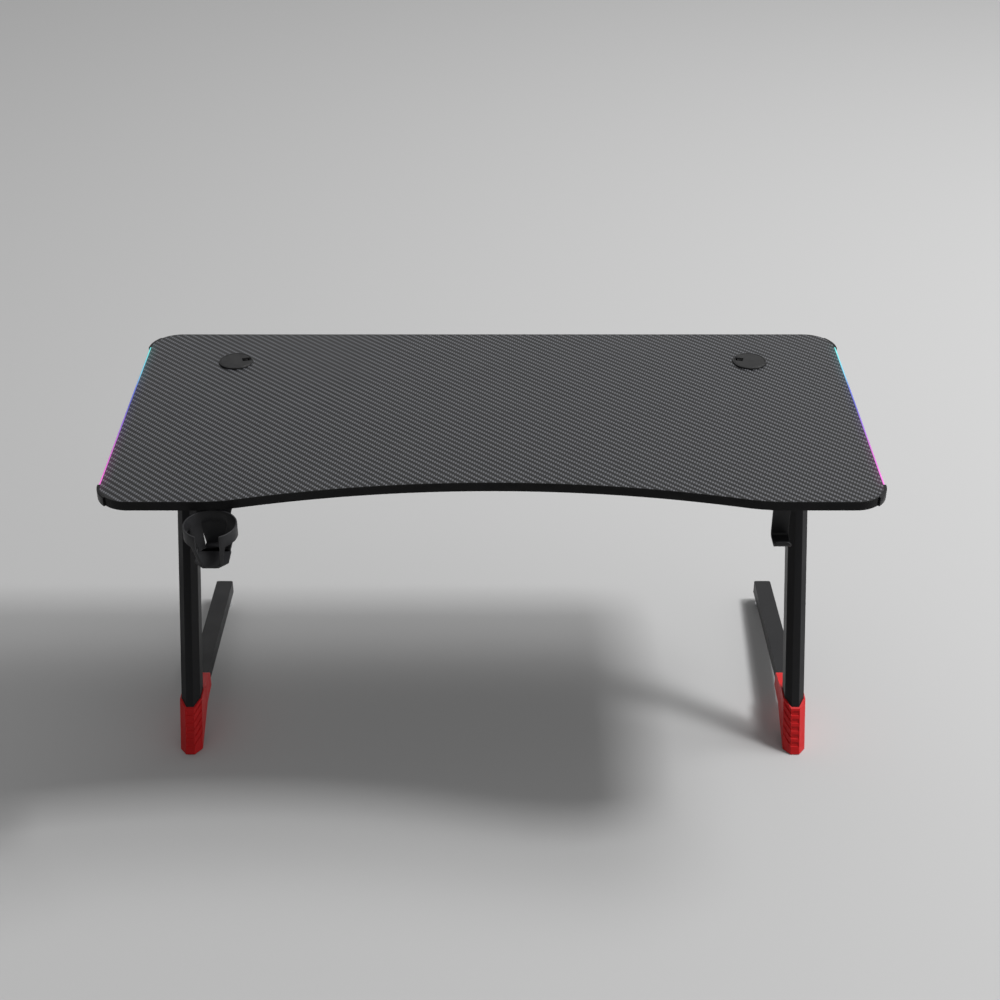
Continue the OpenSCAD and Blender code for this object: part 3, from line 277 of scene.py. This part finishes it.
class DeskLights(bpy.types.PropertyGroup):
    """The side lights and the studio round the desk"""

    glow: bpy.props.FloatProperty(
        name="Side light strength", description="Strength of the glowing side edges", default=0.4,
        min=0, max=20)
    # The spill is a painted glow: emission in the film beside each side light
    spill: bpy.props.FloatProperty(
        name="Light spill", description="Width of the coloured spill on the film beside a side light",
        default=28 * MM, min=0, max=200 * MM, unit="LENGTH")
    key: bpy.props.FloatProperty(
        name="Key light", description="Light of the soft box at the right, as a share of full daylight",
        default=0.42, min=0, max=10)
    rear: bpy.props.FloatProperty(
        name="Rear light", description="Light of the soft box at the right rear, as a share of full daylight",
        default=0.25, min=0, max=10)
    zenith: bpy.props.FloatProperty(
        name="Ambient from above", description="Strength of the even light from straight above", default=0.5,
        min=0, max=2)
    horizon: bpy.props.FloatProperty(
        name="Ambient from the horizon", description="Strength of the even light from the horizon",
        default=0.54, min=0, max=2)
    floor: bpy.props.FloatVectorProperty(
        name="Floor", description="Colour of the floor", default=tone("#bfbfbf"), size=3, min=0, max=1,
        subtype="COLOR")


# Colours of the side lights from the rear corner to the front corner
GLOW_RUN = (
    (0.0, "#4fcfcc"), (0.2, "#56b0cc"), (0.34, "#3a50bc"), (0.46, "#3535ac"),
    (0.58, "#7440bf"), (0.78, "#b83eb4"), (1.0, "#e050c8"),
)
# Distance between the light chips behind a diffuser, and how much brighter it is at each
CHIP_PITCH = 33 * MM
CHIP_RIPPLE = 0.06


def glow_colour(tree):
    """The run of light colours by the place along the side, 0 at the rear and 1 at the front."""
    y = put(tree, SPLIT, (put(tree, COORD, out="Object"),), out="Y")
    along = put(tree, RANGE, (y, FACTS["light_rear"], FACTS["light_front"], 0, 1))
    colour = put(tree, "ShaderNodeValToRGB", (along,))
    ramp = colour.node.color_ramp
    ramp.interpolation = "EASE"
    for i, (spot, tint) in enumerate(GLOW_RUN):
        mark = ramp.elements[i] if i < 2 else ramp.elements.new(spot)
        mark.position = spot
        mark.color = linear(tint)
    return colour


def lit_diffuser(name, strength):
    """Opal acrylic lit from behind by a run of colours: milky, a little brighter at each light chip, with the
    light's colours also painted into its base colour.
    """
    milk = linear("#d9d9e4")
    material, tree, shader = new_material(name, milk, 0.35, ior=1.49)
    colour = glow_colour(tree)
    y = put(tree, SPLIT, (put(tree, COORD, out="Object"),), out="Y")
    wave = put(tree, MATH, (y, 2 * math.pi / CHIP_PITCH), operation="MULTIPLY")
    chips = put(tree, MATH, (wave,), operation="COSINE")
    dimmest, brightest = (1 - CHIP_RIPPLE) * strength, (1 + CHIP_RIPPLE) * strength
    tree.links.new(put(tree, RANGE, (chips, -1, 1, dimmest, brightest)), shader.inputs["Emission Strength"])
    tree.links.new(colour, shader.inputs["Emission Color"])
    # Painted light: the milky base colour is mixed nine tenths towards the colours of the chips' light
    tree.links.new(put(tree, MIX, {0: 0.9, 6: milk, 7: colour}, out=2, data_type="RGBA"),
                   shader.inputs["Base Color"])
    tree.links.new(put(tree, RANGE, (speckle(tree, 20, 3), *SPREAD, 0.3, 0.42)), shader.inputs["Roughness"])
    return material


# The twill repeats every four tows, and each float lies over two of them
TWILL_REPEAT = 4.0
FLOAT_TOWS = 2
# Powers under 1 keep a float full along its length and across its width
HUMP_POWER, CREST_POWER = 0.45, 0.5
# Crown heights between which the painted shade in the gap beside a float fades
GAP_FULL, GAP_GONE = 0.2, 0.8


def weave_film(name, finish, lights):
    """PVC film embossed and printed with a 2/2 twill: each tow is a crowned ribbon of fine fibres, so that
    the desktop shows slanting rows of pale floats that shift with the light."""
    dark, pale = rgba(finish.dark_tow), rgba(finish.pale_tow)
    material, tree, shader = new_material(name, dark, 0.36, ior=1.4)
    place = put(tree, COORD, out="Object")
    x, y = put(tree, SPLIT, (place,), out="X"), put(tree, SPLIT, (place,), out="Y")
    u = put(tree, MATH, (x, finish.tow_x), operation="DIVIDE")
    v = put(tree, MATH, (y, finish.tow_y), operation="DIVIDE")
    part_u, part_v = put(tree, MATH, (u,), operation="FRACT"), put(tree, MATH, (v,), operation="FRACT")
    whole_u, whole_v = put(tree, MATH, (u,), operation="FLOOR"), put(tree, MATH, (v,), operation="FLOOR")
    both_whole = put(tree, MATH, (whole_u, whole_v), operation="ADD")
    step = put(tree, MATH, (both_whole, TWILL_REPEAT), operation="FLOORED_MODULO")
    warp = put(tree, MATH, (step, FLOAT_TOWS - 0.5), operation="LESS_THAN")
    # Place along the float, 0 to 1, for the tow that lies on top
    risen = put(tree, MATH, (step, part_v), operation="ADD")
    along_warp = put(tree, MATH, (risen, 1 / FLOAT_TOWS), operation="MULTIPLY")
    past = put(tree, MATH, (step, part_u), operation="ADD")
    along_weft = put(tree, MATH, (past, 1 / FLOAT_TOWS, -1.0), operation="MULTIPLY_ADD")
    along = put(tree, MIX, {0: warp, 2: along_weft, 3: along_warp})
    across = put(tree, MIX, {0: warp, 2: part_v, 3: part_u})
    hump = put(tree, MATH, (put(tree, MATH, (along, math.pi), operation="MULTIPLY"),), operation="SINE")
    crest = put(tree, MATH, (put(tree, MATH, (across, math.pi), operation="MULTIPLY"),), operation="SINE")
    crown = put(tree, MATH, (put(tree, MATH, (hump, HUMP_POWER), operation="POWER"),
                             put(tree, MATH, (crest, CREST_POWER), operation="POWER")), operation="MULTIPLY")
    # Fibre bundles of 0.1 mm are drawn 0.5 mm wide so that they show
    fibre = put(tree, MIX, {0: warp, 2: speckle(tree, 0.5, 2, 0.5, (14, 1, 1)),
                            3: speckle(tree, 0.5, 2, 0.5, (1, 14, 1))})
    tow = put(tree, MIX, {0: warp, 6: dark, 7: pale}, out=2, data_type="RGBA")
    # Painted shade: the film darkens towards #0b0b0c where a float's crown sinks into the gap beside it
    painted_gap_shade = put(tree, RANGE, (crown, GAP_FULL, GAP_GONE, 1, 0))
    tow_with_painted_shade = put(tree, MIX, {0: painted_gap_shade, 6: tow, 7: linear("#0b0b0c")}, out=2, data_type="RGBA")
    streak = put(tree, RANGE, (fibre, *SPREAD, 0, 0.35))
    tree.links.new(put(tree, MIX, {0: streak, 6: tow_with_painted_shade, 7: linear("#707175")}, out=2, data_type="RGBA",
                       blend_type="SOFT_LIGHT"), shader.inputs["Base Color"])
    # The pale tows are a little duller than the dark ones
    dark_roughness, pale_roughness = 0.34, 0.44
    tow_gloss = put(tree, RANGE, (warp, 0, 1, dark_roughness, pale_roughness))
    smears = put(tree, RANGE, (speckle(tree, 70, 4), *SPREAD, -0.03, 0.05))
    tree.links.new(put(tree, MATH, (tow_gloss, smears), operation="ADD"), shader.inputs["Roughness"])
    relief = put(tree, MATH, (fibre, 0.25, crown), operation="MULTIPLY_ADD")
    relief_mm, relief_strength = 0.09, 0.6
    raise_surface(tree, shader, relief, relief_mm, relief_strength)
    # Painted glow: the side lights' coloured spill, painted into the film's skin as emission, faded over this
    # much outside and inside their ends
    outside, inside = 30 * MM, 20 * MM
    aside = put(tree, MATH, (x,), operation="ABSOLUTE")
    inward = put(tree, MATH, (FACTS["half"], aside), operation="SUBTRACT")
    near = put(tree, MATH, (put(tree, RANGE, (inward, 0, lights.spill, 1, 0)), 2.2), operation="POWER")
    front_end = put(tree, RANGE, (y, FACTS["light_front"] - outside, FACTS["light_front"] + inside, 0, 1))
    rear_end = put(tree, RANGE, (y, FACTS["light_rear"] - inside, FACTS["light_rear"] + outside, 1, 0))
    ends = put(tree, MATH, (front_end, rear_end), operation="MULTIPLY")
    painted_spill = put(tree, MATH, (near, ends), operation="MULTIPLY")
    # The crowns of the floats take more of the painted glow
    caught = put(tree, MATH, (crown, 0.16, 0.02), operation="MULTIPLY_ADD")
    tree.links.new(glow_colour(tree), shader.inputs["Emission Color"])
    tree.links.new(put(tree, MATH, (painted_spill, caught), operation="MULTIPLY"), shader.inputs["Emission Strength"])
    return material


# Corners closer than this are one, faces that turn less are one flat, and edges that turn more are rounded
JOIN_REACH = 0.002 * MM
FLAT_TURN = math.radians(0.15)
EDGE_TURN = math.radians(28)


def soften(node, width):
    """Rounds a CAD node's edges with modifiers, so that they catch the light as real edges do."""
    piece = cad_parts[node]
    weld = piece.modifiers.new("join", "WELD")
    weld.merge_threshold = JOIN_REACH
    flat = piece.modifiers.new("flat", "DECIMATE")
    flat.decimate_type = "DISSOLVE"
    flat.angle_limit = FLAT_TURN
    bevel = piece.modifiers.new("round", "BEVEL")
    bevel.width = width
    bevel.segments = 2
    bevel.limit_method = "ANGLE"
    bevel.angle_limit = EDGE_TURN
    bevel.use_clamp_overlap = False
    bevel.miter_outer = "MITER_ARC"
    bevel.harden_normals = True


def dress(nodes, material):
    """Gives CAD nodes their finish."""
    for node in nodes:
        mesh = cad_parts[node].data
        mesh.materials.clear()
        mesh.materials.append(material)


def both(*stems):
    """Names of the left and the right node of each stem."""
    return [f"{stem}_{side}" for stem in stems for side in SIDES]


def new_piece(name, bm, material):
    """A mesh piece of the desk's fixed body, with its material."""
    bmesh.ops.recalc_face_normals(bm, faces=bm.faces)
    mesh = bpy.data.meshes.new(name)
    bm.to_mesh(mesh)
    bm.free()
    mesh.materials.append(material)
    piece = bpy.data.objects.new(name, mesh)
    bpy.context.scene.collection.objects.link(piece)
    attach(piece, "desk")
    return piece


def outline_at_top(node):
    """Corners of a CAD node's outline at its highest level, in turn."""
    corners = [v.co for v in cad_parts[node].data.vertices]
    level = max(c.z for c in corners)
    spots = sorted({(round(c.x, 5), round(c.y, 5)) for c in corners if c.z > level - 0.1 * MM})
    hull = []
    for row in (spots, spots[::-1]):
        run = []
        for spot in row:
            while len(run) > 1 and cross(run[-2], run[-1], spot) <= 0:
                run.pop()
            run.append(spot)
        hull += run[:-1]
    return [Vector((x, y, level)) for x, y in hull]


def cross(a, b, c):
    """Turn of the line a, b, c: positive to the left."""
    return (b[0] - a[0]) * (c[1] - a[1]) - (b[1] - a[1]) * (c[0] - a[0])


def lay_bead(bm, start, end, radius):
    """One MIG bead from start to end: overlapping drops, swept as one ribbed tube with round ends."""
    run = end - start
    # Shares of the radius: distance between drops, swell of a drop, unevenness, and size of the blunt ends
    pitch, swell, uneven, blunt = 1.1, 0.2, 0.06, 0.35
    drops = max(2, round(run.length / (pitch * radius)))
    sides, per_drop = 10, 4
    aside = run.orthogonal().normalized()
    upward = run.cross(aside).normalized()
    rings = []
    for i in range(drops * per_drop + 1):
        part = i / (drops * per_drop)
        lump = abs(math.sin(math.pi * i / per_drop))
        size = radius * (1 - swell + swell * lump) * (1 + uneven * math.sin(2.3 * i))
        end_round = min(1, blunt + 1.3 * min(i, drops * per_drop - i) / per_drop)
        centre = start + run * part
        rings.append([bm.verts.new(centre + size * end_round * (
            aside * math.cos(2 * math.pi * k / sides) + upward * math.sin(2 * math.pi * k / sides)))
            for k in range(sides)])
    for one, two in zip(rings, rings[1:]):
        for k in range(sides):
            bm.faces.new((one[k], one[(k + 1) % sides], two[(k + 1) % sides], two[k]))
    bm.faces.new(rings[0])
    bm.faces.new(rings[-1])


class DESK_OT_welds(bpy.types.Operator):
    """Lay the weld beads between columns and top plates, and between rails and their end plates"""

    bl_idname = "desk.welds"
    bl_label = "Weld beads"

    def execute(self, context):
        coat = bpy.data.materials["Powder coat satin black"]
        radius = context.scene.desk_finish.bead
        for side in SIDES:
            bm = bmesh.new()
            corners = outline_at_top(f"column_{side}")
            for start, end in zip(corners, corners[1:] + corners[:1]):
                lay_bead(bm, start, end, radius)
            new_piece(f"weld_column_{side}", bm, coat).data.shade_smooth()
        for rail in ("front_rail", "rear_rail"):
            low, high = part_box(rail)
            bm = bmesh.new()
            for x in (low.x, high.x):
                # The rail's top face lies against the board, so the bead goes round the other three
                corners = [Vector((x, low.y, high.z - radius)), Vector((x, low.y, low.z)),
                           Vector((x, high.y, low.z)), Vector((x, high.y, high.z - radius))]
                for start, end in zip(corners, corners[1:]):
                    lay_bead(bm, start, end, radius)
            new_piece(f"weld_{rail}", bm, coat).data.shade_smooth()
        return {"FINISHED"}


# Half of a lead clip's section: out from the lead's middle, down from the underside, in millimetres
CLIP_SECTION = ((0, 3.4), (2.9, 3.4), (3.6, 2.6), (3.8, 1.3), (8.2, 1.3), (8.8, 0.7), (8.8, 0))
CLIP_LENGTH = 7 * MM
# Places of the clips, as shares of the lead's reach along the desk
CLIP_SHARES = {"left": (0.12, 0.36, 0.6, 0.84), "right": (0.5,)}
# Half the width of the flat lead
LEAD_HALF = 2.5 * MM


class DESK_OT_lead_clips(bpy.types.Operator):
    """Set the adhesive clips that hold the flat leads below the desktop"""

    bl_idname = "desk.lead_clips"
    bl_label = "Lead clips"

    def execute(self, context):
        # Satin nylon, a shade lighter than the lead, so that each clip shows as a small bridge over it
        plastic = moulded_plastic("PA lead clip moulded", "#1d1d1f", 0.45)
        section = [(-out, down) for out, down in CLIP_SECTION[:0:-1]] + list(CLIP_SECTION)
        for side, shares in CLIP_SHARES.items():
            low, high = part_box(f"light_lead_{side}")
            middle = high.y - LEAD_HALF
            for i, share in enumerate(shares):
                bm = bmesh.new()
                x = low.x + (high.x - low.x) * share
                ends = [[bm.verts.new((end, middle + out * MM, FACTS["under"] - down * MM))
                         for out, down in section] for end in (x - CLIP_LENGTH / 2, x + CLIP_LENGTH / 2)]
                count = len(section)
                for k in range(count):
                    bm.faces.new((ends[0][k], ends[0][(k + 1) % count], ends[1][(k + 1) % count], ends[1][k]))
                bm.faces.new(ends[0])
                bm.faces.new(ends[1])
                piece = new_piece(f"lead_clip_{side}_{i + 1}", bm, plastic)
                rounding = piece.modifiers.new("round", "BEVEL")
                rounding.width = CLIP_ROUND
                rounding.segments = 2
                rounding.limit_method = "ANGLE"
        return {"FINISHED"}


class DESK_OT_top(bpy.types.Operator):
    """Finish the desktop: its film, board and edge bands"""

    bl_idname = "desk.top"
    bl_label = "Desktop"

    def execute(self, context):
        finish, lights = context.scene.desk_finish, context.scene.desk_lights
        dress(["top_laminate"], weave_film("PVC film with twill weave", finish, lights))
        dress(["desktop_board"], backed_fibreboard("MDF sanded and backed"))
        # Extruded and nearly smooth, and darker than the film, so that the front edge is one thin dark line
        band = moulded_plastic("ABS edge band extruded", "#0d0d0e", 0.42, 1.4, 0.02, ior=1.25)
        bands = ["edge_band_front", "edge_band_rear"]
        dress(bands, band)
        for node in bands:
            soften(node, SKIN_ROUND)
        return {"FINISHED"}


class DESK_OT_side_lights(bpy.types.Operator):
    """Finish the side lights and the corner caps"""

    bl_idname = "desk.side_lights"
    bl_label = "Side lights and corner caps"

    def execute(self, context):
        lights = context.scene.desk_lights
        dress(both("light_diffuser"), lit_diffuser("Opal acrylic lit", lights.glow))
        # A dark channel, so that only the diffuser glows
        dress(both("light_base"), moulded_plastic("ABS light channel extruded", "#1a1a1b", 0.45))
        # Pale tape, as strips with white solder mask are
        dress(both("led_strip"), moulded_plastic("Solder mask tape printed", "#d8d8d2", 0.5))
        # Satin and a shade lighter than the bands, so that the caps stand out at the corners
        caps = both("corner_cap_front", "corner_cap_rear")
        dress(caps, moulded_plastic("ABS corner cap moulded", "#101011", 0.42, ior=1.3))
        for node in caps:
            soften(node, SKIN_ROUND)
        return {"FINISHED"}


class DESK_OT_grommets(bpy.types.Operator):
    """Finish the cable grommets"""

    bl_idname = "desk.grommets"
    bl_label = "Cable grommets"

    def execute(self, context):
        # Dull and even, so that ring and cap are calm discs on the busy weave
        grommets = both("grommet_ring", "grommet_cap")
        dress(grommets, moulded_plastic("ABS grommet moulded", "#161617", 0.5))
        for node in grommets:
            soften(node, GROMMET_ROUND)
        return {"FINISHED"}


class DESK_OT_frame(bpy.types.Operator):
    """Finish the steel frame"""

    bl_idname = "desk.steel_frame"
    bl_label = "Steel frame"

    def execute(self, context):
        finish = context.scene.desk_finish
        coat = powder_coat("Powder coat satin black", "#171719", 0.46)
        steel = both("column", "base_beam", "top_beam", "column_top_plate")
        steel += ["front_rail", "rear_rail", "rail_brackets"]
        dress(steel, coat)
        for node in steel:
            soften(node, finish.edge_round)
        # Polyethylene is duller than the coat, so that the tubes' ends show as closed
        plugs = both("base_beam_plug", "top_beam_plugs")
        dress(plugs, moulded_plastic("PE end plug moulded", "#19191a", 0.55))
        for node in plugs:
            soften(node, PLUG_ROUND)
        dress(both("glide"), chrome_plate("Chrome glide turned"))
        dress(both("glide_nut", "frame_bolts") + ["desktop_screws"], zinc_plate("Zinc plate bright"))
        return {"FINISHED"}


class DESK_OT_boots(bpy.types.Operator):
    """Finish the two boots and their pads"""

    bl_idname = "desk.boots"
    bl_label = "Boots"

    def execute(self, context):
        # A full red with a soft sheen, so that the bevels and grooves show as lighter and darker bands
        dress(both("boot"), moulded_plastic("PP boot moulded red", "#cf1a1d", 0.4, 1.0, wear=0.1, ior=1.34))
        for node in both("boot"):
            soften(node, SKIN_ROUND)
        dress(both("boot_pad"), rubber("Rubber pad"))
        return {"FINISHED"}


class DESK_OT_holders(bpy.types.Operator):
    """Finish the cup holder and the headphone hook"""

    bl_idname = "desk.holders"
    bl_label = "Cup holder and headphone hook"

    def execute(self, context):
        # Greyer than the frame, so that the ring stands out from the column behind it
        dress(["cup_holder"], moulded_plastic("ABS cup holder moulded", "#242426", 0.48))
        # A little paler and glossier than the frame, so that the bends of the strip catch the light
        dress(["headphone_hook"], powder_coat("Powder coat hook black", "#1a1a1c", 0.42))
        soften("cup_holder", SKIN_ROUND)
        soften("headphone_hook", SKIN_ROUND)
        zinc = bpy.data.materials["Zinc plate bright"]
        dress(["cup_holder_screws", "headphone_hook_screws", "corner_cap_screws"], zinc)
        return {"FINISHED"}


class DESK_OT_controller(bpy.types.Operator):
    """Finish the light controller and its leads"""

    bl_idname = "desk.controller"
    bl_label = "Light controller"

    def execute(self, context):
        dress(["controller_base", "controller_cover", "controller_inlet"],
              moulded_plastic("ABS controller moulded", "#1c1c1e", 0.5))
        # Paler and glossier than the box, so that the button is found on it
        dress(["controller_button"], moulded_plastic("ABS button moulded", "#323236", 0.38))
        # The usual green of a circuit board; the closed box hides it
        dress(["controller_board"], moulded_plastic("Solder mask green", "#1f5a38", 0.3))
        # A dull jacket, so that the lead lies quiet on the backing paper
        dress(both("light_lead"), moulded_plastic("PVC lead jacket", "#161617", 0.55))
        dress(["controller_screws"], bpy.data.materials["Zinc plate bright"])
        for node in ("controller_base", "controller_cover"):
            soften(node, BOX_ROUND)
        return {"FINISHED"}


# Places and sides of the two soft boxes, in metres
KEY_PLACE, KEY_SIDE = (5.2, 0.7, 7.6), 1.4
REAR_PLACE, REAR_SIDE = (4.6, 2.8, 7.6), 2.4
# Direction of the studio's bright side, and the shares of the even light from the far side and from there
BRIGHT_SIDE = (0.66, 0.74, 0.15)
SIDE_DIM, SIDE_BRIGHT = 0.12, 1.25
# Half the side of the floor, in metres
FLOOR_REACH = 40
# The camera: its place in metres, its tilt up from straight down, and its lens and sensor in millimetres
CAMERA_PLACE = (0.0168, -3.2820, 2.5973)
CAMERA_TILT = math.radians(58.05)
CAMERA_LENS = 62.64
CAMERA_SENSOR = 36


def soft_box(scene, name, place, side, share):
    """A square soft box aimed at the middle of the floor below the desk. share is the light that it gives the
    floor there: 1 shows a colour as written."""
    light = bpy.data.lights.new(name, "AREA")
    light.shape = "SQUARE"
    light.size = side
    away = Vector(place)
    light.energy = share * math.pi ** 2 * away.length_squared / (away.z / away.length)
    lamp = bpy.data.objects.new(name, light)
    lamp.location = place
    lamp.rotation_euler = away.to_track_quat("Z", "Y").to_euler()
    scene.collection.objects.link(lamp)


def sky(scene, lights):
    """White light from all round, a little stronger from the horizon than from above, and strongest from the
    right rear, as in a studio lit from there."""
    world = bpy.data.worlds.new("studio")
    world.use_nodes = True
    tree = world.node_tree
    toward = put(tree, COORD, out="Generated")
    up = put(tree, SPLIT, (toward,), out="Z")
    height = put(tree, RANGE, (up, 0.0, 0.8, lights.horizon, lights.zenith))
    facing = put(tree, VECTOR, (toward, BRIGHT_SIDE), out="Value", operation="DOT_PRODUCT")
    side = put(tree, RANGE, (facing, -0.9, 0.8, SIDE_DIM, SIDE_BRIGHT))
    background = tree.nodes["Background"]
    background.inputs[0].default_value = linear("#ffffff")
    tree.links.new(put(tree, MATH, (height, side), operation="MULTIPLY"), background.inputs[1])
    scene.world = world


class DESK_OT_stage(bpy.types.Operator):
    """Set the floor, the lights and the camera"""

    bl_idname = "desk.stage"
    bl_label = "Floor, lights and camera"

    def execute(self, context):
        lights = context.scene.desk_lights
        scene = context.scene
        mesh = bpy.data.meshes.new("floor")
        bm = bmesh.new()
        bmesh.ops.create_grid(bm, x_segments=4, y_segments=4, size=FLOOR_REACH)
        bm.to_mesh(mesh)
        bm.free()
        floor = bpy.data.objects.new("floor", mesh)
        scene.collection.objects.link(floor)
        # Matt paint takes the soft shadows and mirrors nothing
        mesh.materials.append(new_material("Floor painted pale", rgba(lights.floor), 0.75, ior=1.4)[0])
        sky(scene, lights)
        soft_box(scene, "key", KEY_PLACE, KEY_SIDE, lights.key)
        soft_box(scene, "rear", REAR_PLACE, REAR_SIDE, lights.rear)
        camera = bpy.data.cameras.new("camera")
        camera.sensor_width = CAMERA_SENSOR
        camera.lens = CAMERA_LENS
        eye = bpy.data.objects.new("camera", camera)
        eye.location = CAMERA_PLACE
        eye.rotation_euler = (CAMERA_TILT, 0, 0)
        scene.collection.objects.link(eye)
        scene.camera = eye
        scene.view_settings.view_transform = "Standard"
        return {"FINISHED"}


OPERATORS = (
    DESK_OT_top, DESK_OT_side_lights, DESK_OT_grommets, DESK_OT_frame, DESK_OT_welds, DESK_OT_boots,
    DESK_OT_holders, DESK_OT_controller, DESK_OT_lead_clips, DESK_OT_stage,
)


class DESK_PT_panel(bpy.types.Panel):
    """Lists the desk's sizes, colours and pieces"""

    bl_idname = "DESK_PT_panel"
    bl_label = "Gaming desk"
    bl_space_type = "VIEW_3D"
    bl_region_type = "UI"
    bl_category = "Desk"

    def draw(self, context):
        for group in (context.scene.desk_finish, context.scene.desk_lights):
            for key in group.bl_rna.properties.keys():
                if key not in ("rna_type", "name"):
                    self.layout.prop(group, key)
        for operator in OPERATORS:
            self.layout.operator(operator.bl_idname)


CLASSES = (DeskFinish, DeskLights, *OPERATORS, DESK_PT_panel)


def register():
    for cls in CLASSES:
        bpy.utils.register_class(cls)
    bpy.types.Scene.desk_finish = bpy.props.PointerProperty(type=DeskFinish)
    bpy.types.Scene.desk_lights = bpy.props.PointerProperty(type=DeskLights)


def unregister():
    del bpy.types.Scene.desk_lights
    del bpy.types.Scene.desk_finish
    for cls in reversed(CLASSES):
        bpy.utils.unregister_class(cls)


def main():
    """Registers the add-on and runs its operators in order."""
    register()
    for operator in OPERATORS:
        family, name = operator.bl_idname.split(".")
        getattr(getattr(bpy.ops, family), name)()


if __name__ == "__main__":
    main()
